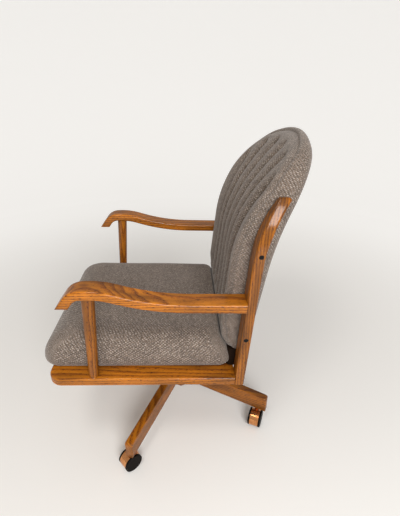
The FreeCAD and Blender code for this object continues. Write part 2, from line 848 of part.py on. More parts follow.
def tilt_housing():
    """Folded steel channel: welded to the spindle, bored for the tilt pin at the back and
    for the tension bolt at the front, where a bridge carries the two rest bumpers."""
    body = new_body("tilt_housing")
    half, wall = S.housing_width / 2, S.housing_wall
    channel = [(-half, HOUSING_BOTTOM), (half, HOUSING_BOTTOM), (half, HOUSING_TOP),
               (half - wall, HOUSING_TOP), (half - wall, HOUSING_BOTTOM + wall),
               (wall - half, HOUSING_BOTTOM + wall), (wall - half, HOUSING_TOP), (-half, HOUSING_TOP)]
    section = outline(new_sketch(body, "XZ_Plane", place(0, 0, -S.housing_rear)), channel)
    pad(body, section, S.housing_front + S.housing_rear)
    bridge = rectangle(new_sketch(body, "XY_Plane", place(0, 0, HOUSING_TOP)), -half, half,
                       -S.housing_front, S.bridge_depth - S.housing_front)
    pad(body, bridge, wall)
    drill(body, S.spindle_radius + S.fixed_gap, HOUSING_BOTTOM - PAST, HOUSING_BOTTOM + wall + PAST)
    drill(body, S.tilt_pin_radius + S.running_gap, -S.housing_width, S.housing_width,
          place(0, S.tilt_axis_y, S.tilt_axis_z, ALONG_X))
    drill(body, S.tension_bolt_radius + S.tension_bolt_play, HOUSING_BOTTOM - PAST,
          HOUSING_BOTTOM + wall + PAST, place(0, S.tension_bolt_y, 0))
    return body


def plane_height(level, distance):
    """World height of a seat plane at that distance in front of the tilt axis; level is the
    plane's height above the axis in the seat's own frame."""
    return S.tilt_axis_z + level / cos(S.seat_lean) + distance * tan(S.seat_lean)


def rest_bumpers():
    """Two rubber stops that the seat plate's front lies on."""
    body = new_body("rest_bumpers")
    y = S.bridge_depth / 2 - S.housing_front
    low = HOUSING_TOP + S.housing_wall
    distance = S.tilt_axis_y - y - S.bumper_radius
    high = plane_height(PLATE_BOTTOM - S.tilt_axis_z, distance) - S.soft_gap
    for way in (-1, 1):
        turn(body, bar(S.bumper_radius, low, high), place(S.bumper_spacing / 2 * way, y, 0))
    return body


def bolt_reach():
    return S.tilt_axis_y - S.tension_bolt_y


def tension_bolt():
    """Long bolt: its trunnion lies across the slot in the seat plate, its thread takes the knob."""
    axis = place(0, S.tension_bolt_y, 0)
    body = new_body("tension_bolt", axis)
    plate_top = plane_height(RAIL_BOTTOM - S.tilt_axis_z, bolt_reach())
    trunnion = plate_top + S.trunnion_radius + S.trunnion_gap
    turn(body, bar(S.tension_bolt_radius, S.tension_bolt_bottom, trunnion))
    turn(body, bar(S.trunnion_radius, -S.trunnion_length / 2, S.trunnion_length / 2),
         place(0, 0, trunnion, ALONG_X))
    return body


def spring_cup():
    body = new_body("spring_cup", place(0, S.tension_bolt_y, 0))
    bore = S.tension_bolt_radius + S.running_gap
    floor = S.cup_bottom + S.cup_floor
    rim = S.cup_radius - S.cup_wall
    turn(body, [(bore, S.cup_bottom), (S.cup_radius, S.cup_bottom), (S.cup_radius, S.cup_bottom + S.cup_rim),
                (rim, S.cup_bottom + S.cup_rim), (rim, floor), (bore, floor)])
    return body


def tension_knob():
    """Hand wheel under the spring, with finger hollows round its rim."""
    body = new_body("tension_knob", place(0, S.tension_bolt_y, 0))
    bore = S.tension_bolt_radius + S.running_gap
    top = S.knob_bottom + S.knob_height
    neck_top = S.cup_bottom - S.soft_gap
    turn(body, [(bore, S.knob_bottom), (S.knob_radius, S.knob_bottom), (S.knob_radius, top),
                (S.knob_neck_radius, top), (S.knob_neck_radius, neck_top), (bore, neck_top)])
    hollow = drill(body, S.knob_hollow_radius, S.knob_bottom - PAST, top + PAST,
                   place(S.knob_radius + S.knob_hollow_offset, 0, 0))
    repeat_round(body, hollow, int(S.knob_hollows.value))
    return body


def biarc(start, start_way, end, end_way):
    """Two arcs that leave start along start_way and reach end along end_way, as edges."""
    across = end - start
    both = start_way + end_way
    even = 2 * (1 - start_way.dot(end_way))
    slope = across.dot(both)
    arm = (-slope + math.sqrt(slope * slope + even * across.dot(across))) / even
    knee, hip = start + start_way * arm, end - end_way * arm
    middle = (knee + hip) * 0.5

    def arc(first, corner, last):
        centre_line = (first + last) * 0.5
        rise = corner - centre_line
        half = (last - first).Length / 2
        leg = (corner - first).Length
        sagitta = half * (leg - half) / rise.Length if rise.Length > 1e-9 else 0
        return Part.Arc(first, centre_line + rise.normalize() * sagitta, last).toShape()

    return [arc(start, knee, middle), arc(middle, hip, end)]


def tilt_spring():
    """Coil spring round the tension bolt, between the housing and the cup."""
    wire, radius = S.spring_wire_radius.value, S.spring_radius.value
    low = (S.cup_bottom + S.cup_floor + S.soft_gap).value + wire
    high = (HOUSING_BOTTOM - S.soft_gap).value - wire
    quarters = int(S.spring_turns.value * 4)
    rise = (high - low) / quarters
    slant = Vector(radius * math.pi / 2, rise, 0).normalize()

    def point(step):
        angle = step * math.pi / 2
        return Vector(radius * math.cos(angle), radius * math.sin(angle), low + rise * step)

    def way(step):
        angle = step * math.pi / 2
        return Vector(-math.sin(angle) * slant.x, math.cos(angle) * slant.x, slant.y)

    edges = []
    for step in range(quarters):
        edges += biarc(point(step), way(step), point(step + 1), way(step + 1))
    path = Part.Wire(edges)
    section = Part.Wire(Part.Circle(point(0), way(0), wire).toShape())
    coil = path.makePipeShell([section], True, False)
    print("spring: least gap between turns", round(rise * 4 - 2 * wire, 2))
    return feature_part("tilt_spring", coil, place(0, S.tension_bolt_y, 0))


# Seat plate, cross rails, board

def bolt_places():
    return [(S.plate_bolt_spacing / 2 * way, y) for y in (S.front_cross_rail_y, S.rear_cross_rail_y)
            for way in (-1, 1)]


def screw_places():
    return [(S.seat_screw_spacing / 2 * way, y) for y in (S.front_cross_rail_y, S.rear_cross_rail_y)
            for way in (-1, 1)]


def seat_plate():
    """Steel plate under the cross rails, with two ears for the tilt pin and a slot for the bolt."""
    body = new_body("seat_plate", SEAT)
    half = S.plate_width / 2
    blank = rectangle(new_sketch(body, "XY_Plane", place(0, 0, PLATE_BOTTOM)), -half, half,
                      S.plate_front, S.plate_rear)
    pad(body, blank, S.plate_thickness)
    fillet(body, S.plate_corner, lambda middle, edge: is_upright_edge(edge))
    inner = S.housing_width / 2 + S.ear_gap
    ear_low = PLATE_BOTTOM - S.ear_drop
    for way in (-1, 1):
        x = (inner + S.ear_thickness / 2) * way
        ear = rectangle(new_sketch(body, "YZ_Plane", place(0, 0, x)),
                        S.tilt_axis_y - S.ear_depth / 2, S.tilt_axis_y + S.ear_depth / 2,
                        ear_low, PLATE_BOTTOM + S.ear_weld)
        pad(body, ear, S.ear_thickness, midplane=True)
    slot_y = S.tension_bolt_y - (RAIL_BOTTOM - S.tilt_axis_z) * sin(S.seat_lean) - S.slot_shift
    slot_half = S.slot_length / 2
    width = S.tension_bolt_radius + S.slot_play
    slot = rectangle(new_sketch(body, "XY_Plane", place(0, 0, RAIL_BOTTOM + PAST)), -width, width,
                     slot_y - slot_half, slot_y + slot_half)
    pocket(body, slot, S.plate_thickness + PAST * 2)
    drill(body, S.tilt_pin_radius + S.fixed_gap, -S.housing_width, S.housing_width,
          place(0, S.tilt_axis_y, S.tilt_axis_z, ALONG_X))
    for x, y in bolt_places():
        drill(body, S.plate_bolt_radius + S.fixed_gap, PLATE_BOTTOM - PAST, RAIL_BOTTOM + PAST, place(x, y, 0))
    return body


def tilt_pin():
    """Headed pin through the ears and the housing."""
    body = new_body("tilt_pin", SEAT)
    ear_outer = S.housing_width / 2 + S.ear_gap + S.ear_thickness + S.pin_head_gap
    end = ear_outer + S.pin_head
    head, pin = S.pin_head_radius, S.tilt_pin_radius
    turn(body, [(0, -end), (head, -end), (head, -ear_outer), (pin, -ear_outer),
                (pin, ear_outer), (head, ear_outer), (head, end), (0, end)],
         place(0, S.tilt_axis_y, S.tilt_axis_z, ALONG_X))
    return body


def plate_bolts():
    """Four bolts up through the seat plate into the cross rails."""
    body = new_body("plate_bolts", SEAT)
    radius, head_radius = S.plate_bolt_radius, S.plate_bolt_head_radius
    head = PLATE_BOTTOM - S.plate_bolt_head
    tip = S.rail_top - S.plate_bolt_cover
    for x, y in bolt_places():
        turn(body, [(0, head), (head_radius, head), (head_radius, PLATE_BOTTOM), (radius, PLATE_BOTTOM),
                    (radius, tip), (0, tip)], place(x, y, 0))
    return body


def seat_screws():
    """Four screws up through the cross rails into the seat board."""
    body = new_body("seat_screws", SEAT)
    radius, head_radius = S.seat_screw_radius, S.seat_screw_head_radius
    head = RAIL_BOTTOM + S.seat_screw_sink
    neck = head + S.seat_screw_head
    tip = BOARD_TOP - S.seat_screw_cover
    for x, y in screw_places():
        turn(body, [(0, head), (head_radius, head), (head_radius, neck), (radius, neck),
                    (radius, tip), (0, tip)], place(x, y, 0))
    return body


def cross_rail(label, y):
    """Flat batten between the side rails, doweled to both."""
    body = new_body(label, SEAT)
    half_depth = S.cross_rail_depth / 2
    plan = rectangle(new_sketch(body, "XY_Plane", place(0, 0, RAIL_BOTTOM)), -S.rail_inner, S.rail_inner,
                     y - half_depth, y + half_depth)
    pad(body, plan, S.rail_thickness)
    sink = RAIL_BOTTOM + S.seat_screw_sink + S.seat_screw_head
    for way in (-1, 1):
        drill(body, S.plate_bolt_radius + S.fixed_gap, RAIL_BOTTOM - PAST,
              S.rail_top - S.plate_bolt_cover + S.end_gap, place(S.plate_bolt_spacing / 2 * way, y, 0))
        screw = place(S.seat_screw_spacing / 2 * way, y, 0)
        drill(body, S.seat_screw_radius + S.fixed_gap, RAIL_BOTTOM - PAST, S.rail_top + PAST, screw)
        drill(body, S.seat_screw_head_radius + S.fixed_gap, RAIL_BOTTOM - PAST, sink, screw)
    for x, offset, way in rail_dowel_ends():
        drill(body, S.dowel_radius + S.fixed_gap, -S.dowel_play, S.dowel_length / 2 + S.dowel_play,
              place(S.rail_inner * way, y + offset, rail_middle(), Rotation(Vector(0, 1, 0), -90 * way)))
    return body


def rail_middle():
    return S.rail_top - S.rail_thickness / 2


def rail_dowel_ends():
    return [(S.rail_inner * way, RAIL_DOWEL_SPACING / 2 * side, way) for way in (-1, 1) for side in (-1, 1)]


def rounded_plan(half_width, front, rear, radius):
    """Corners of a rounded rectangle, counter-clockwise, for outline()."""
    return [(radius - half_width, front), (half_width - radius, front, radius), (half_width, front + radius),
            (half_width, rear - radius, radius), (half_width - radius, rear),
            (radius - half_width, rear, radius), (-half_width, rear - radius),
            (-half_width, front + radius, radius)]


def seat_board():
    """Plywood board under the cushion, resting on the rails."""
    body = new_body("seat_board", SEAT)
    plan = rounded_plan(S.board_half_width, S.board_front, S.board_rear, S.board_corner)
    pad(body, outline(new_sketch(body, "XY_Plane", place(0, 0, S.rail_top)), plan), S.board_thickness)
    for x, y in screw_places():
        drill(body, S.seat_screw_radius + S.fixed_gap, S.rail_top - PAST,
              BOARD_TOP - S.seat_screw_cover + S.end_gap, place(x, y, 0))
    return body


# Side rails, posts, arms, uprights

def upright_face(height):
    """Y of the uprights' front face at a height in their straight part."""
    run = (height - RAIL_BOTTOM) * tan(S.upright_lean)
    return S.upright_foot_y - S.upright_depth / 2 / cos(S.upright_lean) + run


def scarf(body, low, high):
    """Trims a rear end to lie flat against the leaning upright."""
    end = upright_face(high) + OVERLAP
    wedge = [(upright_face(low), low), (upright_face(high), high), (end, high), (end, low)]
    pocket(body, outline(new_sketch(body, "YZ_Plane"), wedge), 800, midplane=True)


def side_rail(name, side):
    """Flat oak rail beside the cushion, its outer front corner swept round."""
    body = new_body(f"{name}_side_rail", SEAT)
    inner, outer, corner = S.rail_inner * side, S.rail_outer * side, S.rail_corner * side
    rear = upright_face(S.rail_top) + S.scarf_stock
    plan = [(inner, S.rail_front), (outer - corner, S.rail_front, corner),
            (outer, S.rail_front + S.rail_corner), (outer, rear), (inner, rear)]
    pad(body, outline(new_sketch(body, "XY_Plane", place(0, 0, RAIL_BOTTOM)), plan), S.rail_thickness)
    limit = rear.value - PAST

    def outer_edge(middle, edge):
        on_face = near(middle.z, S.rail_top) or near(middle.z, RAIL_BOTTOM)
        return on_face and middle.y < limit and not near(middle.x, inner)

    fillet(body, S.rail_ease, outer_edge)
    scarf(body, RAIL_BOTTOM - PAST, S.rail_top + PAST)
    foot = post_axis(name, side)
    seat = S.post_foot_radius + S.fixed_gap
    drill(body, seat, -S.post_seat, OVERLAP, foot)
    drill(body, S.post_tenon_radius + S.fixed_gap, -S.post_seat - S.post_tenon - S.end_gap, 0, foot)
    for y in (S.front_cross_rail_y, S.rear_cross_rail_y):
        for offset in (-RAIL_DOWEL_SPACING / 2, RAIL_DOWEL_SPACING / 2):
            drill(body, S.dowel_radius + S.fixed_gap, -S.dowel_play, S.dowel_length / 2 + S.dowel_play,
                  place(inner, y + offset, rail_middle(), Rotation(Vector(0, 1, 0), 90 * side)))
    for x in dowel_rows(side):
        drill(body, S.dowel_radius + S.fixed_gap, -S.dowel_length / 2 - S.dowel_play, OVERLAP,
              place(x, upright_face(rail_middle()), rail_middle(), ALONG_Y))
    return body


def dowel_rows(side):
    """X of the two dowels that join a rail or an arm to its upright."""
    middle = (S.upright_inner + S.upright_width / 2) * side
    return [middle - ARM_DOWEL_SPACING / 2, middle + ARM_DOWEL_SPACING / 2]


def post_axis(name, side):
    """The post's foot on the rail and the lean of its axis, in the seat's frame."""
    foot = Vector(S.post_foot_x.value * side, S.post_foot_y.value, S.rail_top.value)
    head = Vector(S.post_head_x.value * side, S.post_head_y.value, S.arm_top.value)
    return Placement(foot, Rotation(Vector(0, 0, 1), head - foot))


def post_height():
    """Length of a post's shaft, from the rail to the underside of the arm's crest."""
    crest = arm_points()[2]
    return crest[1] + crest_rise() - S.arm_thickness - S.rail_top


def crest_rise():
    return S.arm_crest_radius * (1 - cos(S.arm_sweep_angle))


def arm_post(name, side):
    """Turned oak post, stouter towards the arm, with a tenon at each end."""
    body = new_body(f"{name}_arm_post", SEAT * post_axis(name, side))
    height = post_height()
    foot, head, tenon = S.post_foot_radius, S.post_head_radius, S.post_tenon_radius
    seat = S.post_seat - S.dowel_play
    turn(body, [(0, -seat - S.post_tenon), (tenon, -seat - S.post_tenon), (tenon, -seat), (foot, -seat),
                (foot, 0), (head, height), (head, height + seat), (tenon, height + seat),
                (tenon, height + seat + S.post_tenon), (0, height + seat + S.post_tenon)])
    return body


def arm_points():
    """Side view of an arm's top edge, from the upright forwards, as (y, z)."""
    sweep, crest, nose = S.arm_sweep_angle, S.arm_crest_angle, S.arm_nose_angle
    start = (S.arm_straight_end, S.arm_top)
    turn_point = (start[0] - S.arm_sweep_radius * sin(sweep),
                  start[1] + S.arm_sweep_radius * (1 - cos(sweep)))
    over = (turn_point[0] - S.arm_crest_radius * (sin(sweep) + sin(crest)),
            turn_point[1] + S.arm_crest_radius * (cos(crest) - cos(sweep)))
    droop = (over[0] - S.arm_nose_radius * (sin(nose) - sin(crest)),
             over[1] - S.arm_nose_radius * (cos(crest) - cos(nose)))
    tip = (droop[0] - (droop[1] - S.arm_nose_cut) / tan(nose), S.arm_nose_cut)
    return [(upright_face(S.arm_top) + S.scarf_stock, S.arm_top), start, turn_point, over, droop, tip]


def arm(name, side):
    """Swept oak arm: straight at the upright, rising to a crest over the post, then down
    to a nose that is cut level."""
    outer = S.arm_outer - S.arm_width / 2
    body = new_body(f"{name}_arm", SEAT * place(outer * side, 0, 0))
    rear, start, turn_point, over, droop, tip = arm_points()
    thick = S.arm_thickness
    sweep, crest, nose = S.arm_sweep_angle, S.arm_crest_angle, S.arm_nose_angle
    under_droop = (droop[0] + thick * sin(nose), droop[1] - thick * cos(nose))
    under_over = (over[0] + thick * sin(crest), over[1] - thick * cos(crest))
    under_turn = (turn_point[0] - thick * sin(sweep), turn_point[1] - thick * cos(sweep))
    heel = (under_droop[0] - (under_droop[1] - S.arm_nose_cut) / tan(nose), S.arm_nose_cut)
    side_view = [rear, (*start, -S.arm_sweep_radius), (*turn_point, S.arm_crest_radius),
                 (*over, S.arm_nose_radius), droop, tip, heel,
                 (*under_droop, thick - S.arm_nose_radius), (*under_over, thick - S.arm_crest_radius),
                 (*under_turn, S.arm_sweep_radius + thick), (start[0], start[1] - thick),
                 (rear[0], rear[1] - thick)]
    pad(body, outline(new_sketch(body, "YZ_Plane"), side_view), S.arm_width, midplane=True)
    half = S.arm_width.value / 2
    limit = rear[0].value - PAST
    fillet(body, S.arm_ease, lambda middle, edge: near(abs(middle.x), half) and middle.y < limit)
    scarf(body, S.arm_top - thick - PAST, S.arm_top + PAST)
    shift = place(-outer * side, 0, 0)
    axis = shift * post_axis(name, side)
    height = post_height()
    drill(body, S.post_head_radius + S.fixed_gap, height - OVERLAP, height + S.post_seat, axis)
    drill(body, S.post_tenon_radius + S.fixed_gap, height, height + S.post_seat + S.post_tenon + S.end_gap,
          axis)
    level = arm_middle()
    for x in dowel_rows(side):
        drill(body, S.dowel_radius + S.fixed_gap, -S.dowel_length / 2 - S.dowel_play, OVERLAP,
              shift * place(x, upright_face(level), level, ALONG_Y))
    return body


def arm_middle():
    return S.arm_top - S.arm_thickness / 2


def upright(name, side):
    """Oak upright: straight beside the seat, then bending back, its outer face drawn in
    towards a level top."""
    middle = S.upright_inner + S.upright_width / 2
    body = new_body(f"{name}_upright", SEAT * place(middle * side, 0, 0))
    lean, bend, half = S.upright_lean, S.upright_bend_radius, S.upright_depth / 2
    knee = (S.upright_foot_y + S.upright_straight * tan(lean), RAIL_BOTTOM + S.upright_straight)
    centre = (knee[0] + bend * cos(lean), knee[1] - bend * sin(lean))
    top = RAIL_BOTTOM + S.upright_height

    def on_arc(radius):
        return centre[0] - sqrt(radius * radius - (top - centre[1]) * (top - centre[1]))

    side_view = [(S.upright_foot_y + half / cos(lean), RAIL_BOTTOM),
                 (knee[0] + half * cos(lean), knee[1] - half * sin(lean), half - bend),
                 (on_arc(bend - half), top), (on_arc(bend + half), top, bend + half),
                 (knee[0] - half * cos(lean), knee[1] + half * sin(lean)),
                 (S.upright_foot_y - half / cos(lean), RAIL_BOTTOM)]
    pad(body, outline(new_sketch(body, "YZ_Plane"), side_view), S.upright_width, midplane=True)
    face, taper = S.upright_width / 2 * side, S.upright_taper_radius
    start, end = RAIL_BOTTOM + S.upright_taper_start, top + PAST
    drawn_in = taper - sqrt(taper * taper - (end - start) * (end - start))
    beside = face + OVERLAP * side
    waste = [(face, start, taper * side), (face - drawn_in * side, end), (beside, end), (beside, start)]
    pocket(body, outline(new_sketch(body, "XZ_Plane"), waste), S.upright_height * 2, midplane=True)
    foot, head = RAIL_BOTTOM.value + PAST, top.value - PAST

    def eased(point, edge):
        level = edge.BoundBox.ZLength < 0.01
        return point.z > foot and not (level and point.z < head)

    fillet(body, S.upright_ease, eased)
    shift = place(-middle * side, 0, 0)
    outer = face.value
    for y, z in back_bolt_places():
        centre = place(0, y, z, ALONG_X)
        drill(body, S.back_bolt_radius + S.fixed_gap, -S.upright_width, S.upright_width, centre)
        cap = sorted([outer - S.bolt_cap_depth.value * side, outer + OVERLAP * side])
        drill(body, S.bolt_cap_radius + S.fixed_gap, cap[0], cap[1], centre)
    for level in (rail_middle(), arm_middle()):
        for x in dowel_rows(side):
            drill(body, S.dowel_radius + S.fixed_gap, -OVERLAP, S.dowel_length / 2 + S.dowel_play,
                  shift * place(x, upright_face(level), level, ALONG_Y))
    return body


def back_bolt_places():
    """(y, z) of the two bolts on each side, on the centre of the back board's edge."""
    places = []
    for height in (S.lower_bolt_height, S.upper_bolt_height):
        level = RAIL_BOTTOM + height
        places.append((board_curve(level.value), level))
    return places


def frame_dowels():
    """Dowels between rails, cross rails, arms and uprights."""
    half = S.dowel_length / 2
    body = new_body("frame_dowels", SEAT)
    for _, side in SIDES:
        for level in (rail_middle(), arm_middle()):
            for x in dowel_rows(side):
                turn(body, bar(S.dowel_radius, -half, half), place(x, upright_face(level), level, ALONG_Y))
        for y in (S.front_cross_rail_y, S.rear_cross_rail_y):
            for offset in (-RAIL_DOWEL_SPACING / 2, RAIL_DOWEL_SPACING / 2):
                turn(body, bar(S.dowel_radius, -half, half),
                     place(S.rail_inner * side, y + offset, rail_middle(), ALONG_X))
    return body


# Back

def board_curve(z, forward=0.0):
    """Y of the back board's middle at a height: straight, then an arc leaning back. forward
    gives the surface that lies that far in front of it, measured square to the board."""
    rise = max(z - S.back_board_bend_z.value, 0.0)
    radius = S.back_board_bend_radius.value
    outer = radius + forward
    return S.back_board_y.value + radius - math.sqrt(outer * outer - rise * rise)


def leaning_arc(start, lean, radius, rise):
    """Y and lean, that far above a place where the line's Y and lean are given: straight
    below the place, an arc that leans back further above it."""
    if rise < 0:
        return start + rise * math.tan(lean), lean
    turned = math.asin(math.sin(lean) + rise / radius)
    return start + radius * (math.cos(lean) - math.cos(turned)), turned


def front_curve(z):
    """Y of the cushion's front at a height: a leaning line, an arc and a wider arc."""
    bend, upper = S.back_front_bend_z.value, S.back_front_upper_z.value
    slope = math.radians(S.back_front_slope.value)
    y, lean = leaning_arc(S.back_front_y.value, slope, S.back_front_bend_radius.value, min(z, upper) - bend)
    return y if z <= upper else leaning_arc(y, lean, S.back_front_upper_radius.value, z - upper)[0]


def rear_curve(z):
    """Y of the back's rear face at a height: a leaning line, then an arc."""
    return leaning_arc(S.back_rear_y.value, math.radians(S.back_rear_slope.value),
                       S.back_rear_bend_radius.value, z - S.back_rear_bend_z.value)[0]


def arch(x):
    """Drop of the back's rounded top below its crest, at that distance from the middle: a
    wide crown arc that runs into a corner arc on each side."""
    x = abs(x)
    crown, corner, start = (S.back_crown_radius.value, S.back_corner_radius.value, S.back_corner_start.value)
    drop = crown - math.sqrt(crown * crown - min(x, start) ** 2)
    if x <= start:
        return drop
    lean = math.asin(start / crown)
    across = min(x - start + corner * math.sin(lean), corner)
    return drop + corner * math.cos(lean) - math.sqrt(corner * corner - across * across)


def back_board():
    """Bent plywood board inside the back, its top an arch, bolted between the uprights."""
    body = new_body("back_board", SEAT)
    half = S.back_board_thickness / 2
    radius = S.back_board_bend_radius
    bend = (S.back_board_y, S.back_board_bend_z)
    crest = S.back_crest - S.back_board_below_crest
    rise = crest - bend[1]
    sweep = math.degrees(math.asin(rise.value / radius.value))
    lean = Size(sweep, f"asin({rise.text} / {radius.text})")
    end = (bend[0] + radius * (1 - cos(lean)), crest)
    low = S.back_bottom + S.soft_gap
    side_view = [(bend[0] + half, low), (bend[0] + half, bend[1], half - radius),
                 (end[0] + half * cos(lean), end[1] - half * sin(lean)),
                 (end[0] - half * cos(lean), end[1] + half * sin(lean), radius + half),
                 (bend[0] - half, bend[1]), (bend[0] - half, low)]
    pad(body, outline(new_sketch(body, "YZ_Plane"), side_view), S.back_board_half_width * 2, midplane=True)
    start, wide = S.back_corner_start, S.back_board_half_width
    shoulder = crest.value - arch(start.value)
    foot = crest.value - arch(wide.value)
    crown = [(-wide, foot, -S.back_corner_radius), (-start, shoulder, -S.back_crown_radius),
             (start, shoulder, -S.back_corner_radius), (wide, foot),
             (wide + OVERLAP, foot), (wide + OVERLAP, crest + OVERLAP), (-wide - OVERLAP, crest + OVERLAP),
             (-wide - OVERLAP, foot)]
    pocket(body, outline(new_sketch(body, "XZ_Plane"), crown), RIGHT_THROUGH, midplane=True)
    for y, z in back_bolt_places():
        for way in (-1, 1):
            low, high = sorted([(wide.value + PAST) * way, (wide - S.back_bolt_grip - S.end_gap).value * way])
            drill(body, S.back_bolt_radius + S.fixed_gap, low, high, place(0, y, z, ALONG_X))
    return body


def back_bolts():
    """Four bolts in through the uprights to the back board."""
    body = new_body("back_bolts", SEAT)
    radius = S.back_bolt_radius
    seat = S.upright_inner + S.upright_width - S.bolt_cap_depth
    head_radius, head = S.back_bolt_head_radius, seat + S.back_bolt_head
    inner = S.back_board_half_width - S.back_bolt_grip
    for y, z in back_bolt_places():
        for _, side in SIDES:
            turn(body, [(0, inner), (radius, inner), (radius, seat), (head_radius, seat),
                        (head_radius, head), (0, head)],
                 place(0, y, z, Rotation(Vector(0, 1, 0), 90 * side)))
    return body


def bolt_caps():
    """Four black caps over the bolt heads, slightly domed."""
    body = new_body("bolt_caps", SEAT)
    radius = S.bolt_cap_radius
    face = S.upright_inner + S.upright_width
    inner = face - S.bolt_cap_depth + S.back_bolt_head + S.dowel_play
    dome = face + S.bolt_cap_dome
    for y, z in back_bolt_places():
        for _, side in SIDES:
            turn(body, [(0, inner), (radius, inner), (radius, face), (radius - S.bolt_cap_bevel, dome),
                        (0, dome)],
                 place(0, y, z, Rotation(Vector(0, 1, 0), 90 * side)))
    return body


def rounded_block(x_range, y_range, z_range, corner):
    """A block between those limits whose upright edges are rounded."""
    size = [high - low for low, high in (x_range, y_range, z_range)]
    block = Part.makeBox(*size, Vector(x_range[0], y_range[0], z_range[0]))
    return block.makeFillet(corner, [edge for edge in block.Edges if is_upright_edge(edge)])


def seat_cushion():
    """Upholstered seat: drawn in at its foot, full at the belly, shoulders rolling over to a
    crown. Level sections are lofted. A tongue runs on under the back between the uprights,
    and below, the seat is hollowed for the board it wraps."""
    low = S.rail_top.value + S.soft_gap.value
    belly = S.rail_top.value + S.cushion_belly.value
    top = S.rail_top.value + S.cushion_height.value
    shoulder, draw = S.cushion_shoulder.value, S.cushion_draw_in.value
    half, front_corner = S.cushion_half_width.value, S.cushion_corner.value
    front, rear = S.cushion_front.value, S.cushion_rear.value
    power = S.cushion_roll_power.value

    def inset(z, depth):
        """Draws in below the belly; above it, a quarter of a superellipse."""
        if z < belly:
            return draw * ((belly - z) / (belly - low)) ** 2
        share = min((z - belly) / (top - belly), 1.0)
        return depth * (1 - (1 - share ** power) ** (1 / power))

    def rear_step(z):
        """How far the rear end steps forward where the back comes down on it."""
        share = min(max((z - belly) / (top - belly), 0.0), 1.0)
        return S.cushion_step.value * share * share * (3 - 2 * share)

    def section(z):
        x = half - inset(z, shoulder)
        y_front = front + inset(z, S.cushion_front_roll.value)
        y_rear = rear - rear_step(z) - inset(z, S.cushion_rear_round.value)
        points = []
        for sign_x, sign_y, y in ((-1, -1, y_front), (1, -1, y_front), (1, 1, y_rear), (-1, 1, y_rear)):
            corner = front_corner if sign_y < 0 else S.cushion_rear_corner.value
            near_x, near_y = Vector(sign_x * (x - corner), y, z), Vector(sign_x * x, y - sign_y * corner, z)
            centre = Vector(sign_x * (x - corner), y - sign_y * corner, z)
            way = Vector(sign_x, sign_y, 0).normalize()
            points.append((near_x, centre + way * corner, near_y))
        edges = []
        for index in range(4):
            along_x, middle, along_y = points[index]
            first, last = (along_y, along_x) if index % 2 == 0 else (along_x, along_y)
            edges.append(Part.Arc(first, middle, last).toShape())
            following = points[(index + 1) % 4]
            start = following[0] if index % 2 == 0 else following[2]
            edges.append(Part.LineSegment(last, start).toShape())
        return Part.Wire(edges)

    levels = [low, (low + belly) / 2] + [belly + (top - belly) * share for share in CUSHION_LEVELS]
    cushion = Part.makeLoft([section(z) for z in levels], True, False)
    gap = S.soft_gap.value
    tongue_half = (S.upright_inner - S.tongue_side_gap).value
    tongue_top = (S.back_bottom - S.tongue_below_back).value
    tongue = rounded_block((-tongue_half, tongue_half), (S.board_rear.value, S.tongue_rear.value),
                           (low, tongue_top), S.tongue_corner.value)
    board_half = S.board_half_width.value + gap
    hollow = rounded_block((-board_half, board_half), (S.board_front.value - gap, S.board_rear.value + gap),
                           (low - OVERLAP, BOARD_TOP.value + gap), S.board_corner.value)
    return feature_part("seat_cushion", cushion.fuse(tongue).cut(hollow), SEAT)


def back_sections():
    """Where the back is cut into upright sections: (x, push, side). push moves the front out
    over a channel and in across the dished middle; side is 0 over the panel and grows to 1
    at the rounded side face."""
    half, seam = S.back_half_width.value, S.back_seam_half_width.value
    count = int(S.channel_count.value)
    pitch = 2 * seam / count
    round_x, round_side = 0.3, 0.4
    shoulder = half - round_x * (half - seam)

    def push(x, bulge=0.0):
        return bulge - S.back_dish.value * (1 - (x / half) ** 2)

    rows = [(-half, 0.0, 1.0), (-shoulder, push(shoulder), round_side)]
    for index in range(count):
        left = -seam + index * pitch
        crest = left + pitch / 2
        rows.append((left, push(left), 0.0))
        rows.append((crest, push(crest, S.channel_depth.value), 0.0))
    rows.append((seam, push(seam), 0.0))
    rows += [(shoulder, push(shoulder), round_side), (half, 0.0, 1.0)]
    return rows


def upright_section(x, steps):
    """A wire in the plane of that x. A step is (y, z) for a line or (y, z, y_mid, z_mid) for
    an arc to the point (y, z) through the middle point."""
    edges = []
    start = steps[0]
    here = Vector(x, start[0], start[1])
    for step in steps[1:] + [start[:2]]:
        there = Vector(x, step[0], step[1])
        if len(step) == 4:
            edges.append(Part.Arc(here, Vector(x, step[2], step[3]), there).toShape())
        else:
            edges.append(Part.LineSegment(here, there).toShape())
        here = there
    return Part.Wire(edges)


def back_levels(x, side):
    """Heights in the upright section at x: the crest, the rear seam under the roll, and the
    top of the board's pocket with its middle."""
    crest = S.back_crest.value - arch(x) - S.back_side_drop.value * side
    rear_seam = crest - S.back_seam_drop.value
    pocket_top = S.back_crest.value - S.back_board_below_crest.value - arch(x) + S.soft_gap.value
    return crest, rear_seam, pocket_top, (S.back_board_bend_z.value + pocket_top) / 2


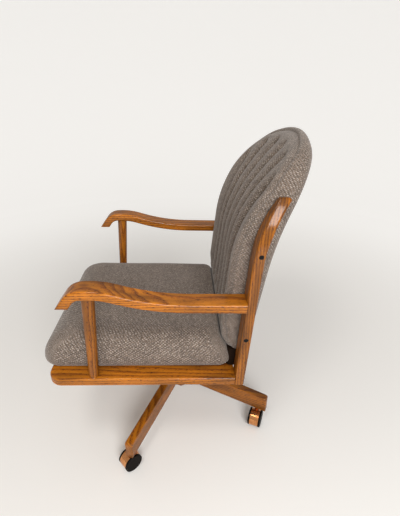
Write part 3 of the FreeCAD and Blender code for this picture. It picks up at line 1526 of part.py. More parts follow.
def back_cushion():
    """Front of the back: upright channels that flatten against the seat at their foot, and a
    top that rolls over the board to a seam on the rear."""
    low, bend = S.back_bottom.value, S.back_front_bend_z.value
    wall = S.back_board_thickness.value / 2 + S.soft_gap.value
    straight = S.back_board_bend_z.value
    heel = low + S.back_foot_height.value
    full = heel + S.back_foot_fade.value
    wires = []
    for x, push, side in back_sections():
        crest, rear_seam, pocket_top, pocket_middle = back_levels(x, side)
        front_top = crest - S.back_roll.value
        split = bend + (front_top - bend) * FRONT_SPLIT
        lower, upper = (bend + split) / 2, (split + front_top) / 2
        inset = S.back_front_inset.value * side

        def front(z, share):
            return front_curve(z) - push * share + inset

        front_y = front(front_top, 0.5)
        rear_y = rear_curve(rear_seam) - S.back_rear_inset.value * side
        wires.append(upright_section(x, [
            (front(low, 0) + S.back_foot_tuck.value, low),
            (front(heel, 0), heel),
            (front(full, 1), full),
            (front(bend, 1), bend),
            (front(split, 1), split, front(lower, 1), lower),
            (front_y, front_top, front(upper, 1), upper),
            (rear_y, rear_seam, (front_y + rear_y) / 2 + S.back_crown_lift.value, crest),
            (board_curve(pocket_top, -wall), pocket_top),
            (board_curve(pocket_top, wall), pocket_top),
            (board_curve(straight, wall), straight, board_curve(pocket_middle, wall), pocket_middle),
            (board_curve(low, wall), low),
        ]))
    return feature_part("back_cushion", Part.makeLoft(wires, True, False), SEAT)


def back_panel():
    """Upholstered outside back, behind the board and under the roll."""
    low, bend = S.back_bottom.value, S.back_rear_bend_z.value
    wall = S.back_board_thickness.value / 2 + S.soft_gap.value
    straight = S.back_board_bend_z.value
    seam_gap = S.soft_gap.value * 12
    wires = []
    for x, _, side in back_sections():
        _, rear_seam, pocket_top, _ = back_levels(x, side)
        rear_seam -= seam_gap
        top = pocket_top - seam_gap
        middle = (straight + top) / 2
        rear_middle = (bend + rear_seam) / 2
        inset = S.back_rear_inset.value * side
        wires.append(upright_section(x, [
            (board_curve(low, -wall), low),
            (board_curve(straight, -wall), straight),
            (board_curve(top, -wall), top, board_curve(middle, -wall), middle),
            (rear_curve(rear_seam) - inset, rear_seam),
            (rear_curve(bend) - inset, bend, rear_curve(rear_middle) - inset, rear_middle),
            (rear_curve(low) - inset, low),
        ]))
    return feature_part("back_panel", Part.makeLoft(wires, True, False), SEAT)


def build():
    base_hub()
    for index, (name, _) in enumerate(CASTERS):
        base_leg(f"{name}_leg", leg_angle(index))
    leg_bolts()
    column_tube()
    column_bushes()
    caster_sockets()
    casters()
    spindle()
    spindle_clip()
    thrust_washer()
    tilt_housing()
    rest_bumpers()
    tilt_spring()
    tension_bolt()
    spring_cup()
    tension_knob()
    seat_plate()
    tilt_pin()
    plate_bolts()
    seat_screws()
    cross_rail("front_cross_rail", S.front_cross_rail_y)
    cross_rail("rear_cross_rail", S.rear_cross_rail_y)
    seat_board()
    seat_cushion()
    for name, side in SIDES:
        side_rail(name, side)
        arm_post(name, side)
        arm(name, side)
        upright(name, side)
    frame_dowels()
    back_board()
    back_bolts()
    bolt_caps()
    back_cushion()
    back_panel()


def check():
    """Every object has to be up to date, and every part a valid shape."""
    doc.recompute()
    for item in doc.Objects:
        if "Invalid" in item.State or "Error" in item.State:
            raise ValueError(f"{item.Label} failed: {item.State}")
    for item in parts:
        if item.Shape.isNull() or not item.Shape.isValid() or not item.Shape.Solids:
            raise ValueError(f"{item.Label} has no valid solid")


def write():
    os.makedirs("parts", exist_ok=True)
    for item in parts:
        item.Shape.exportStep(os.path.join("parts", f"{item.Label}.step"))
    print(len(parts), "parts written")


build()
check()
write()
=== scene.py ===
"""Bankers swivel chair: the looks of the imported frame.

The scene is in metres, the floor at z = 0, the swivel axis on Z and the chair facing -Y.
The upholstery is worked out in millimetres in the seat's own frame, which leans back by
nearly two degrees about the tilt pin, and SeatFrame.place() turns it into the chair's frame.
"""

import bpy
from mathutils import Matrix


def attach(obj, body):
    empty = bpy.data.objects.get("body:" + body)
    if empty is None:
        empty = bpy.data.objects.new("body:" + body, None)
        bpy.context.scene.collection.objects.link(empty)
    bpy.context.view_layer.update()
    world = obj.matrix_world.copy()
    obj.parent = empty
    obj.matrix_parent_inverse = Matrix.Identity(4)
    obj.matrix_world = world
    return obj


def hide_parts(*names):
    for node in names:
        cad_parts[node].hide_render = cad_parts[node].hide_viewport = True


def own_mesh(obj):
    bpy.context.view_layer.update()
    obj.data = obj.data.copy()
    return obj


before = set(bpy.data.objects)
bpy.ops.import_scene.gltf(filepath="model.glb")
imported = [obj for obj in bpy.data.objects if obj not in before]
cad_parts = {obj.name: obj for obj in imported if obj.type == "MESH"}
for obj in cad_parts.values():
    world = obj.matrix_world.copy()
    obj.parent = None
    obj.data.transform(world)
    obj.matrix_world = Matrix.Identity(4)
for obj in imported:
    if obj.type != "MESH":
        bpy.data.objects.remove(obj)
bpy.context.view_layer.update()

import logging
import math
from dataclasses import dataclass
from enum import Enum
from functools import partial
from typing import Mapping, Sequence

import bmesh
import bpy
import numpy as np
from bpy.types import Material, Node, NodeSocket, NodeTree, Object
from mathutils import Matrix, Vector

LOG = logging.getLogger("chair")
MM = 0.001
QUARTER = math.pi / 2
Array = np.ndarray
Triple = tuple[float, float, float]
Stops = tuple[tuple[float, str], ...]

# Sockets of a colour Mix node, whose names are shared by its number and vector sockets
FACTOR, COLOUR_A, COLOUR_B, MIXED = 0, 6, 7, 2


def linear(hex_colour: str) -> tuple[float, float, float, float]:
    """Turns an sRGB hex colour into linear red, green, blue and full alpha.

    Args:
        hex_colour: The colour as "#RRGGBB".

    Returns:
        Four numbers from 0 to 1.
    """
    shares = [int(hex_colour[place:place + 2], 16) / 255 for place in (1, 3, 5)]
    curved = [s / 12.92 if s <= 0.04045 else ((s + 0.055) / 1.055) ** 2.4 for s in shares]
    return (*curved, 1.0)


def feed(node: Node, inputs: Mapping[str | int, object]) -> None:
    """Gives a node's inputs what they take.

    Args:
        node: The node.
        inputs: For each input, by name or place: an output or a node to link, or a value.
    """
    for name, value in inputs.items():
        if isinstance(value, Node):
            value = value.outputs[0]
        if isinstance(value, NodeSocket):
            node.id_data.links.new(value, node.inputs[name])
        else:
            node.inputs[name].default_value = value


def add(tree: NodeTree, kind: str, inputs: Mapping[str | int, object] | None = None,
        stops: Stops = (), **settings: object) -> Node:
    """Adds a shader node with its settings, its colour stops and what its inputs take.

    Args:
        tree: The node tree that gets the node.
        kind: The node's type, without the word ShaderNode.
        inputs: What feed() gives the node.
        stops: Place and hex colour of each stop of a colour ramp.
        settings: The node's own settings.

    Returns:
        The new node.
    """
    node = tree.nodes.new("ShaderNode" + kind)
    for name, value in settings.items():
        setattr(node, name, value)
    feed(node, inputs or {})
    if stops:
        ramp = node.color_ramp
        while len(ramp.elements) < len(stops):
            ramp.elements.new(1.0)
        for element, (place, colour) in zip(ramp.elements, stops):
            element.position = place
            element.color = linear(colour)
    return node


@dataclass(frozen=True)
class Finish:
    """A finish on one or more pieces; each kind dresses the shader in its own way."""

    name: str

    def material(self) -> Material:
        """Makes the material.

        Returns:
            A material whose nodes end in one Principled shader.
        """
        material = bpy.data.materials.new(self.name)
        material.use_nodes = True
        tree = material.node_tree
        tree.nodes.clear()
        shader = add(tree, "BsdfPrincipled")
        add(tree, "OutputMaterial", {"Surface": shader.outputs[0]})
        self.dress(tree, shader)
        return material

    def dress(self, tree: NodeTree, shader: Node) -> None:
        """Feeds the shader; every kind of finish has its own way.

        Args:
            tree: The material's nodes.
            shader: Its Principled shader.
        """
        raise NotImplementedError


@dataclass(frozen=True)
class LacqueredOak(Finish):
    """Red oak, stained golden and lacquered: warm orange-brown wood with faint growth rings,
    short dark open pores drawn out along the grain and slow drifts of tone, under a gloss
    that catches the light on every eased edge.

    Oak's pores are 0.3 mm wide and 3 to 8 mm long; they are drawn about 1 mm wide so that
    they show. turn brings the grain onto the pattern's X axis, and heart is where the tree's
    middle then lies from the piece, in metres; tone scales how light the board is drawn, and
    below 1 it is painted shade that darkens pieces standing in the chair's shade.
    """

    turn: Triple
    heart: Triple
    # How light the board is drawn; below 1 it is painted shade for pieces in the chair's shade
    tone: float = 1.0
    ring_spacing: float = 7.0 * MM
    ring_tones: Stops = ((0.0, "#86490A"), (0.25, "#98560E"), (0.5, "#A9640F"), (0.86, "#AE6A14"),
                         (1.0, "#86490A"))
    figure: Triple = (3.0, 16.0, 16.0)
    ring_sway: Triple = (0.0, 0.02, 0.02)
    drift_scale: float = 2.2
    drift: tuple[float, float] = (0.48, 1.3)
    pore_length: float = 9.0 * MM
    pore_width: float = 1.2 * MM
    pore_colour: str = "#3A1C06"
    pore_start: tuple[float, float] = (0.5, 0.62)
    pore_edge: float = 0.09
    pore_depth: float = 0.7

    def dress(self, tree: NodeTree, shader: Node) -> None:
        """Rings from the distance to the heart, pores from noise drawn out along the grain.

        Args:
            tree: The material's nodes.
            shader: Its Principled shader.
        """
        put = partial(add, tree)
        place = put("TexCoord").outputs["Object"]
        along = put("Mapping", {"Vector": place, "Rotation": self.turn, "Location": self.heart})
        drawn = put("VectorMath", {0: along, 1: self.figure}, operation="MULTIPLY")
        sway = put("TexNoise", {"Vector": drawn, "Scale": 1.0, "Detail": 4.0})
        shift = put("VectorMath", {0: sway.outputs["Color"], 1: self.ring_sway, 2: along},
                    operation="MULTIPLY_ADD")
        across = put("VectorMath", {0: shift, 1: (0.0, 1.0, 1.0)}, operation="MULTIPLY")
        radius = put("VectorMath", {0: across}, operation="LENGTH")
        count = put("Math", {0: radius.outputs["Value"], 1: 1 / self.ring_spacing}, operation="MULTIPLY")
        ring = put("Math", {0: count}, operation="FRACT")
        rings = put("ValToRGB", {"Fac": ring}, stops=self.ring_tones)
        stretch = (1 / self.pore_length, 1 / self.pore_width, 1 / self.pore_width)
        fine = put("VectorMath", {0: shift, 1: stretch}, operation="MULTIPLY")
        pore = put("TexNoise", {"Vector": fine, "Scale": 1.0, "Detail": 2.0})
        # Pores crowd where a ring begins
        closed = put("MapRange", {"Value": ring, "From Min": 0.0, "From Max": 0.7,
                                  "To Min": self.pore_start[0], "To Max": self.pore_start[1]})
        wide_open = put("Math", {0: closed, 1: self.pore_edge}, operation="ADD")
        hole = put("MapRange", {"Value": pore, "From Min": closed, "From Max": wide_open},
                   interpolation_type="SMOOTHSTEP")
        tone = put("TexNoise", {"Vector": drawn, "Scale": self.drift_scale, "Detail": 5.0})
        shade = put("MapRange", {"Value": tone, "From Min": 0.32, "From Max": 0.68,
                                 "To Min": self.drift[0] * self.tone,
                                 "To Max": self.drift[1] * self.tone})
        toned = put("VectorMath", {0: rings, "Scale": shade}, operation="SCALE")
        colour = put("Mix", {FACTOR: hole, COLOUR_A: toned, COLOUR_B: linear(self.pore_colour)},
                     data_type="RGBA")
        relief = put("Math", {0: hole, 1: -self.pore_depth, 2: ring}, operation="MULTIPLY_ADD")
        bump = put("Bump", {"Height": relief, "Strength": 0.15, "Distance": 0.3 * MM})
        feed(shader, {"Base Color": colour.outputs[MIXED], "Normal": bump, "Roughness": 0.6,
                      "Specular IOR Level": 0.15, "Coat Weight": 0.5, "Coat Roughness": 0.12})


@dataclass(frozen=True)
class WovenTweed(Finish):
    """Upholstery tweed in a basket weave: pale grey yarns one way and brown yarns the other
    show in turn as small squares, a calm salt-and-pepper that is soft, matt and slightly hairy.

    The yarns are about 2.5 mm apart in the cloth; they are drawn 4 mm apart so that the
    squares show from a step away. The pattern reads the piece's own UV map, in metres.
    """

    yarn_spacing: float = 4.0 * MM
    pale: str = "#8F867F"
    brown: str = "#6A5C51"
    gap: str = "#382E27"
    sway_scale: float = 110.0
    sway: float = 6.0 * MM
    slub: tuple[float, float] = (0.66, 1.34)
    drift_scale: float = 14.0
    drift: tuple[float, float] = (0.92, 1.08)
    hair_scale: float = 1500.0
    hair_height: float = 0.35

    def dress(self, tree: NodeTree, shader: Node) -> None:
        """Squares that alternate like a chequer, each a little off its yarn's own tone and
        domed, with a dark gap at its corners.

        Args:
            tree: The material's nodes.
            shader: Its Principled shader.
        """
        put = partial(add, tree)
        cloth = put("UVMap").outputs[0]
        pitch = 1 / self.yarn_spacing
        sway = put("TexNoise", {"Vector": cloth, "Scale": self.sway_scale, "Detail": 1.0})
        swayed = put("VectorMath", {0: sway.outputs["Color"], 1: (self.sway,) * 3, 2: cloth},
                     operation="MULTIPLY_ADD")
        cells = put("VectorMath", {0: swayed, 1: (pitch, pitch, 0.0)}, operation="MULTIPLY")
        index = put("VectorMath", {0: cells}, operation="FLOOR")
        over = put("TexChecker", {"Vector": swayed, "Scale": pitch, "Color1": linear(self.pale),
                                  "Color2": linear(self.brown)})
        yarn = put("TexWhiteNoise", {"Vector": index}, noise_dimensions="3D")
        slub = put("MapRange", {"Value": yarn, "To Min": self.slub[0], "To Max": self.slub[1]})
        patch = put("TexNoise", {"Vector": cloth, "Scale": self.drift_scale, "Detail": 2.0})
        drift = put("MapRange", {"Value": patch, "From Min": 0.3, "From Max": 0.7,
                                 "To Min": self.drift[0], "To Max": self.drift[1]})
        tone = put("Math", {0: slub, 1: drift}, operation="MULTIPLY")
        toned = put("VectorMath", {0: over, "Scale": tone}, operation="SCALE")
        inside = put("VectorMath", {0: cells}, operation="FRACTION")
        centred = put("VectorMath", {0: inside, 1: (2.0, 2.0, 0.0), 2: (-1.0, -1.0, 0.0)},
                      operation="MULTIPLY_ADD")
        reach = put("VectorMath", {0: centred, 1: centred}, operation="DOT_PRODUCT")
        dome = put("MapRange", {"Value": reach.outputs["Value"], "From Min": 0.3, "From Max": 1.9,
                                "To Min": 1.0, "To Max": 0.0})
        colour = put("Mix", {FACTOR: dome, COLOUR_A: linear(self.gap), COLOUR_B: toned}, data_type="RGBA")
        hair = put("TexNoise", {"Vector": cloth, "Scale": self.hair_scale, "Detail": 2.0})
        height = put("Math", {0: hair, 1: self.hair_height, 2: dome}, operation="MULTIPLY_ADD")
        bump = put("Bump", {"Height": height, "Strength": 0.4, "Distance": 0.6 * MM})
        feed(shader, {"Base Color": colour.outputs[MIXED], "Normal": bump, "Roughness": 0.95,
                      "Sheen Weight": 0.25, "Sheen Roughness": 0.5, "Specular IOR Level": 0.15})


@dataclass(frozen=True)
class PaintedShadeLining(Finish):
    """Thin woven cotton lining under the back, between the uprights; its near-black tone is painted shade for
    the deep gap there.
    """

    thread_scale: float = 900.0

    def dress(self, tree: NodeTree, shader: Node) -> None:
        """A fine plain weave, in tone and as bump.

        Args:
            tree: The material's nodes.
            shader: Its Principled shader.
        """
        put = partial(add, tree)
        place = put("TexCoord").outputs["Object"]
        weave = put("TexNoise", {"Vector": place, "Scale": self.thread_scale, "Detail": 2.0})
        # Near-black tones: painted shade for the deep gap under the back
        colour = put("ValToRGB", {"Fac": weave}, stops=((0.3, "#150D08"), (0.7, "#24170E")))
        bump = put("Bump", {"Height": weave, "Strength": 0.3, "Distance": 0.3 * MM})
        feed(shader, {"Base Color": colour, "Normal": bump, "Roughness": 0.9, "Specular IOR Level": 0.1})


@dataclass(frozen=True)
class Metal(Finish):
    """A metal, a moulding or any other plain surface: its colour and roughness drift between
    two values along marks of a given size, drawn out along one direction."""

    colour: str
    dull: str
    roughness: float
    cloud: float
    grain: Triple = (60.0, 60.0, 60.0)
    metallic: float = 1.0
    specular: float = 0.5

    def dress(self, tree: NodeTree, shader: Node) -> None:
        """Colour, roughness and bump from one stretched noise.

        Args:
            tree: The material's nodes.
            shader: Its Principled shader.
        """
        put = partial(add, tree)
        place = put("TexCoord").outputs["Object"]
        drawn = put("VectorMath", {0: place, 1: self.grain}, operation="MULTIPLY")
        marks = put("TexNoise", {"Vector": drawn, "Scale": 1.0, "Detail": 5.0})
        share = put("MapRange", {"Value": marks, "From Min": 0.35, "From Max": 0.7})
        colour = put("Mix", {FACTOR: share, COLOUR_A: linear(self.colour), COLOUR_B: linear(self.dull)},
                     data_type="RGBA")
        rough = put("MapRange", {"Value": share, "To Min": self.roughness,
                                 "To Max": self.roughness + self.cloud})
        bump = put("Bump", {"Height": marks, "Strength": 0.3, "Distance": 0.1 * MM})
        feed(shader, {"Base Color": colour.outputs[MIXED], "Roughness": rough, "Normal": bump,
                      "Metallic": self.metallic, "Specular IOR Level": self.specular})


class Grain(Enum):
    """Which way a wooden piece's grain runs, as the turn that brings it onto X."""

    X = (0.0, 0.0, 0.0)
    Y = (0.0, 0.0, -QUARTER)
    Z = (0.0, QUARTER, 0.0)


@dataclass(frozen=True)
class Woodwork:
    """The oak pieces, each with its own board of wood."""

    first_leg_angle: float = -25.9
    legs: tuple[str, ...] = ("front_left_leg", "rear_left_leg", "rear_right_leg", "front_right_leg")
    along_y: tuple[str, ...] = ("left_side_rail", "right_side_rail", "left_arm", "right_arm")
    along_z: tuple[str, ...] = ("left_arm_post", "right_arm_post", "left_upright", "right_upright",
                                "base_hub")
    along_x: tuple[str, ...] = ("front_cross_rail", "rear_cross_rail")
    board_tilt: Triple = (0.02, 0.035, 0.02)
    first_heart: tuple[float, float] = (0.055, 0.09)
    # Painted shade: how much darker the legs, arm posts, uprights and hub are drawn, for the shade they stand
    # in
    painted_shade_tone: float = 0.7

    def dress(self) -> None:
        """Gives each oak node its own material, so that no two pieces share their rings: the
        boards' grain is a little off their length, and their hearts lie at different places. The
        legs, arm posts, uprights and hub are drawn darker as painted shade for where they stand."""
        turns = {name: Grain.Y.value for name in self.along_y}
        turns |= {name: Grain.Z.value for name in self.along_z}
        turns |= {name: Grain.X.value for name in self.along_x}
        for index, name in enumerate(self.legs):
            turns[name] = (0.0, 0.0, -math.radians(self.first_leg_angle + 90 * index))
        for index, (name, turn) in enumerate(turns.items()):
            tilted = tuple(whole + part for whole, part in zip(turn, self.board_tilt))
            heart = (0.37 * index, self.first_heart[0] + 0.013 * (index % 5),
                     self.first_heart[1] + 0.011 * (index % 7))
            # Painted shade: the legs, arm posts, uprights and hub get a darker board for the shade they stand
            # in
            tone = self.painted_shade_tone if name in self.legs + self.along_z else 1.0
            dress_node(name, LacqueredOak(f"lacquered_oak_{name}", tilted, heart, tone).material())


def dress_node(name: str, material: Material) -> None:
    """Puts a material on a CAD node.

    Args:
        name: The node.
        material: What each of its material slots takes.
    """
    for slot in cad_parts[name].material_slots:
        slot.material = material


SLOT_FINISHES: dict[str, Finish] = {
    # Turned beech dowels: pale, plain, closed grain
    "beech": Metal("turned_beech", "#C9A070", "#B98A58", 0.6, 0.1, (30.0, 400.0, 400.0), metallic=0.0),
    # Bent birch plywood: pale faces with thin darker glue lines
    "plywood": Metal("birch_plywood", "#CDAA7A", "#9C774C", 0.65, 0.1, (20.0, 20.0, 700.0), metallic=0.0),
    # Powder-coated steel: even black with a fine orange-peel skin
    "black_steel": Metal("powder_coated_steel", "#17181A", "#222325", 0.42, 0.12, (900.0, 900.0, 900.0),
                         metallic=0.0),
    # Zinc-plated steel: pale grey metal with a cloudy shine
    "zinc_steel": Metal("zinc_plated_steel", "#B9BAB6", "#8F908C", 0.3, 0.2),
    # Oil-tempered spring wire: dark grey metal, drawn lines
    "spring_steel": Metal("tempered_spring_wire", "#6D675F", "#45403A", 0.34, 0.2, (500.0, 500.0, 90.0)),
    # Moulded nylon bushes: off-white, waxy
    "nylon": Metal("moulded_nylon", "#D8D2C2", "#C7BFAC", 0.45, 0.1, metallic=0.0),
    # Moulded rubber: dull near-black
    "rubber": Metal("moulded_rubber", "#1B1A19", "#262423", 0.8, 0.1, (700.0, 700.0, 700.0), metallic=0.0),
    # Moulded black plastic: satin with a spark-eroded grain
    "black_plastic": Metal("grained_black_plastic", "#060606", "#0B0A0A", 0.6, 0.1, (1500.0, 1500.0, 1500.0),
                           metallic=0.0, specular=0.2),
    # Copper plate on pressed steel: warm, bright, slightly tarnished in clouds
    "copper_plate": Metal("polished_copper_plate", "#E2A06A", "#BE7C4A", 0.2, 0.18, (45.0, 45.0, 45.0)),
    # Caster wheels of hard nylon: very dark brown, satin
    "wheel_plastic": Metal("dark_nylon_wheel", "#0B0604", "#100906", 0.5, 0.15, (300.0, 300.0, 300.0),
                           metallic=0.0, specular=0.1),
}


def side_by_side(*parts: Array) -> Array:
    """Sets arrays side by side along a new last axis."""
    return np.stack(parts, axis=-1)


@dataclass(frozen=True)
class SeatFrame:
    """The seat's own frame, in millimetres: where its axis lies and how far it leans."""

    axis_y: float = 18.0
    axis_z: float = 304.0
    lean: float = 1.746

    def place(self, points: Array) -> Array:
        """Turns points by the lean about the tilt axis and gives them in metres.

        Args:
            points: Millimetres in the seat's frame, any shape ending in 3.

        Returns:
            Metres in the chair's frame, in the same shape.
        """
        y, z = points[..., 1] - self.axis_y, points[..., 2] - self.axis_z
        cosine, sine = math.cos(math.radians(self.lean)), math.sin(math.radians(self.lean))
        turned_y, turned_z = y * cosine + z * sine + self.axis_y, z * cosine - y * sine + self.axis_z
        return side_by_side(points[..., 0], turned_y, turned_z) * MM


def grid_faces(rows: int, columns: int, first: int = 0) -> Array:
    """Corner numbers of the four-sided faces of a grid whose points are stored row by row.

    Args:
        rows: How many rows of points.
        columns: How many points in a row.
        first: The number of the grid's first point.

    Returns:
        One row of four point numbers for each face.
    """
    at = np.arange(rows * columns).reshape(rows, columns) + first
    return side_by_side(at[:-1, :-1], at[:-1, 1:], at[1:, 1:], at[1:, :-1]).reshape(-1, 4)


@dataclass
class Patch:
    """A grid of points in metres with the cloth's own coordinates, in metres too."""

    points: Array
    cloth: Array


def linked(name: str, data: bpy.types.ID) -> Object:
    """Makes an object and links it to the scene.

    Args:
        name: Its name.
        data: Its mesh, lamp or camera.

    Returns:
        The new object.
    """
    made = bpy.data.objects.new(name, data)
    bpy.context.scene.collection.objects.link(made)
    return made


def shell(name: str, patches: Sequence[Patch], sharp: float = 180.0) -> Object:
    """Joins patches into one closed mesh whose faces point outwards.

    Args:
        name: The piece's name.
        patches: Grids that meet along shared points.
        sharp: Edges that turn by more than this, in degrees, are shaded as creases.

    Returns:
        The new object, linked to the scene.
    """
    points = np.concatenate([patch.points.reshape(-1, 3) for patch in patches])
    cloth = np.concatenate([patch.cloth.reshape(-1, 2) for patch in patches])
    faces, first = [], 0
    for patch in patches:
        rows, columns = patch.points.shape[:2]
        faces.append(grid_faces(rows, columns, first))
        first += rows * columns
    corners = np.concatenate(faces)
    mesh = bpy.data.meshes.new(name)
    mesh.from_pydata(points, [], corners)
    uv = mesh.uv_layers.new(name="cloth")
    uv.data.foreach_set("uv", cloth[corners.ravel()].astype(np.float32).ravel())
    work = bmesh.new()
    work.from_mesh(mesh)
    bmesh.ops.remove_doubles(work, verts=work.verts, dist=0.02 * MM)
    bmesh.ops.dissolve_degenerate(work, edges=work.edges, dist=0.01 * MM)
    rim = [edge for edge in work.edges if edge.is_boundary]
    if rim:
        filled = bmesh.ops.holes_fill(work, edges=rim, sides=0)
        bmesh.ops.triangulate(work, faces=filled["faces"])
    bmesh.ops.recalc_face_normals(work, faces=work.faces)
    work.to_mesh(mesh)
    work.free()
    mesh.shade_smooth()
    mesh.set_sharp_from_angle(angle=math.radians(sharp))
    return linked(name, mesh)


def run_length(points: Array, axis: int) -> Array:
    """Distance run along one axis of a grid of points, from its first point."""
    steps = np.linalg.norm(np.diff(points, axis=axis), axis=-1)
    return np.concatenate([np.zeros_like(steps.take([0], axis=axis)), np.cumsum(steps, axis=axis)], axis=axis)


def smooth_step(share: Array) -> Array:
    """Eases a share from 0 to 1, flat at both ends: 3 s^2 - 2 s^3."""
    held = np.clip(share, 0.0, 1.0)
    return held * held * (3 - 2 * held)


def raised(plan: Array, heights: Array) -> Array:
    """Gives each ring of plan points its height."""
    return np.concatenate([plan, np.broadcast_to(heights[:, None, None], plan.shape[:2] + (1,))], axis=-1)


@dataclass(frozen=True)
class SeatCushion:
    """The sprung seat: a rounded block that rolls over at its front and sides, steps in where
    the back comes down on it, and is hollowed below for the board that it wraps. A lined
    tongue runs on under the back between the uprights; its near-black lining is painted shade."""

    half_width: float = 245.5
    front: float = -377.0
    rear: float = 159.0
    front_corner: float = 36.0
    rear_corner: float = 29.0
    low: float = 360.8
    belly: float = 384.5
    top: float = 467.0
    crown: float = 5.0
    unevenness: float = 1.3
    draw_in: float = 9.0
    side_roll: float = 66.0
    front_roll: float = 95.0
    side_power: float = 2.6
    front_power: float = 2.1
    rear_step: float = 34.0
    rear_round: float = 5.0
    tongue_half_width: float = 236.0
    tongue_rear: float = 183.0
    tongue_top: float = 420.0
    tongue_corner: float = 12.0
    board_half_width: float = 235.3
    board_front: float = -338.3
    board_rear: float = 146.3
    board_corner: float = 46.0
    board_top: float = 372.8
    corner_points: int = 24
    side_points: int = 56

    def ring(self, half: Array, front: Array, rear: Array, front_corner: float,
             rear_corner: float) -> tuple[Array, Array]:
        """Rounded rectangles: four corner arcs joined by straight sides.

        Args:
            half: Half the width of each ring.
            front: Y of each ring's front side.
            rear: Y of each ring's rear side.
            front_corner: Radius of the front corners.
            rear_corner: Radius of the rear corners.

        Returns:
            Plan points, rings by points by 2, and the outward direction at each, points by 2.
        """
        corners = ((1, -1, front, front_corner), (1, 1, rear, rear_corner),
                   (-1, 1, rear, rear_corner), (-1, -1, front, front_corner))
        arcs, ways = [], []
        for number, (way_x, way_y, end, radius) in enumerate(corners):
            angle = -QUARTER + QUARTER * (number + np.linspace(0, 1, self.corner_points))
            centre = side_by_side(way_x * (half - radius), end - way_y * radius)
            way = side_by_side(np.cos(angle), np.sin(angle))
            arcs.append(centre[:, None, :] + radius * way)
            ways.append(way)
        share = np.linspace(0, 1, self.side_points + 2)[1:-1, None]
        points, outward = [], []
        for number in range(4):
            following = arcs[(number + 1) % 4][:, :1, :]
            points += [arcs[number], arcs[number][:, -1:, :] * (1 - share) + following * share]
            outward += [ways[number], np.broadcast_to(ways[number][-1], (self.side_points, 2))]
        points.append(points[0][:, :1, :])
        outward.append(outward[0][:1])
        return np.concatenate(points, axis=1), np.concatenate(outward)

    def patch(self, seat: SeatFrame) -> Patch:
        """Works out the whole cover as rings from the hollow below to the crown.

        The side is drawn in below the belly by a parabola and rolls over above it as a
        quarter of a superellipse of power p, s being the height's share of the way to the
        top: inset = depth (1 - (1 - s^p)^(1/p)). The top rises towards its middle by
        crown (1 - r^2)^2, r running from 1 at the roll to 0.

        Args:
            seat: The seat's frame.

        Returns:
            The cover as one patch.
        """
        low_z = np.linspace(self.low, self.belly, 9)
        rise = np.sin(np.linspace(0, QUARTER, 48)[1:]) ** (2 / self.side_power)
        z = np.concatenate([low_z, self.belly + (self.top - self.belly) * rise])
        drawn = self.draw_in * ((self.belly - np.minimum(z, self.belly)) / (self.belly - self.low)) ** 2
        share = np.clip((z - self.belly) / (self.top - self.belly), 0, 1)
        side_rolled = 1 - (1 - share ** self.side_power) ** (1 / self.side_power)
        front_rolled = 1 - (1 - share ** self.front_power) ** (1 / self.front_power)
        half = self.half_width - drawn - self.side_roll * side_rolled
        front = self.front + drawn + self.front_roll * front_rolled
        rear = self.rear - drawn - self.rear_step * smooth_step(share) - self.rear_round * side_rolled
        side, outward = self.ring(half, front, rear, self.front_corner, self.rear_corner)
        side = raised(side, z)

        shrink = np.linspace(1, 0, 36)[1:, None, None]
        middle = np.array([0.0, (front[-1] + rear[-1]) / 2, 0.0])
        lid = middle + (side[-1:] - middle) * np.concatenate([shrink, shrink, shrink * 0], axis=-1)
        lid[..., 2] = self.top + self.crown * (1 - shrink[..., 0] ** 2) ** 2

        board, _ = self.ring(np.full(2, self.board_half_width), np.full(2, self.board_front),
                             np.full(2, self.board_rear), self.board_corner, self.board_corner)
        wall = raised(board, np.array([self.board_top, self.low]))
        ceiling = np.broadcast_to([0.0, middle[1], self.board_top], wall[:1].shape)

        rings = np.concatenate([ceiling, wall, side, lid])
        rings[..., 2] += self.ripple(rings)
        down = run_length(side[::-1], 0)[::-1]
        core = side[-1:, :, :2]
        cloth_side = core + outward[None] * down[..., None]
        cloth = np.concatenate([cloth_side[:1].repeat(3, axis=0), cloth_side, lid[..., :2]])
        return Patch(seat.place(rings), cloth * MM)

    def ripple(self, points: Array) -> Array:
        """Soft unevenness of the padding, over the upper side only: long crossed waves
        sin(x / 61) sin(y / 83), and shorter slanting ones.

        Args:
            points: Millimetres in the seat's frame.

        Returns:
            How far each point rises, in millimetres.
        """
        x, y, z = points[..., 0], points[..., 1], points[..., 2]
        share = smooth_step((z - self.belly) / (self.top - self.belly))
        waves = np.sin(x / 61 + 0.7) * np.sin(y / 83 + 0.4) + 0.6 * np.sin(x / 37 + y / 49 + 1.9)
        return self.unevenness * waves * share

    def tongue(self, seat: SeatFrame) -> Patch:
        """The tongue under the back: a ring with rounded corners, raised and closed over.

        Args:
            seat: The seat's frame.

        Returns:
            The tongue as one patch.
        """
        middle = (self.board_rear + self.tongue_rear) / 2
        plan, _ = self.ring(np.full(4, self.tongue_half_width), np.full(4, self.board_rear),
                            np.full(4, self.tongue_rear), self.tongue_corner, self.tongue_corner)
        heights = np.array([self.low, self.low, self.tongue_top, self.tongue_top])
        plan[0] = plan[-1] = (0.0, middle)
        return Patch(seat.place(raised(plan, heights)), plan * MM)

    def build(self, seat: SeatFrame, cover: Material, lining: Material) -> None:
        """Makes the cover and its lined tongue and sets them on the seat.

        Args:
            seat: The seat's frame.
            cover: The tweed.
            lining: What the tongue is covered in, near-black cloth that paints the shade under the back.
        """
        finish_cushion(shell("seat_cover", [self.patch(seat)]), cover, 0.8, "seat_cushion")
        # The tongue's near-black cloth is painted shade for the deep gap under the back
        finish_cushion(shell("seat_tongue", [self.tongue(seat)], sharp=50.0), lining, 0.8, "seat_cushion")


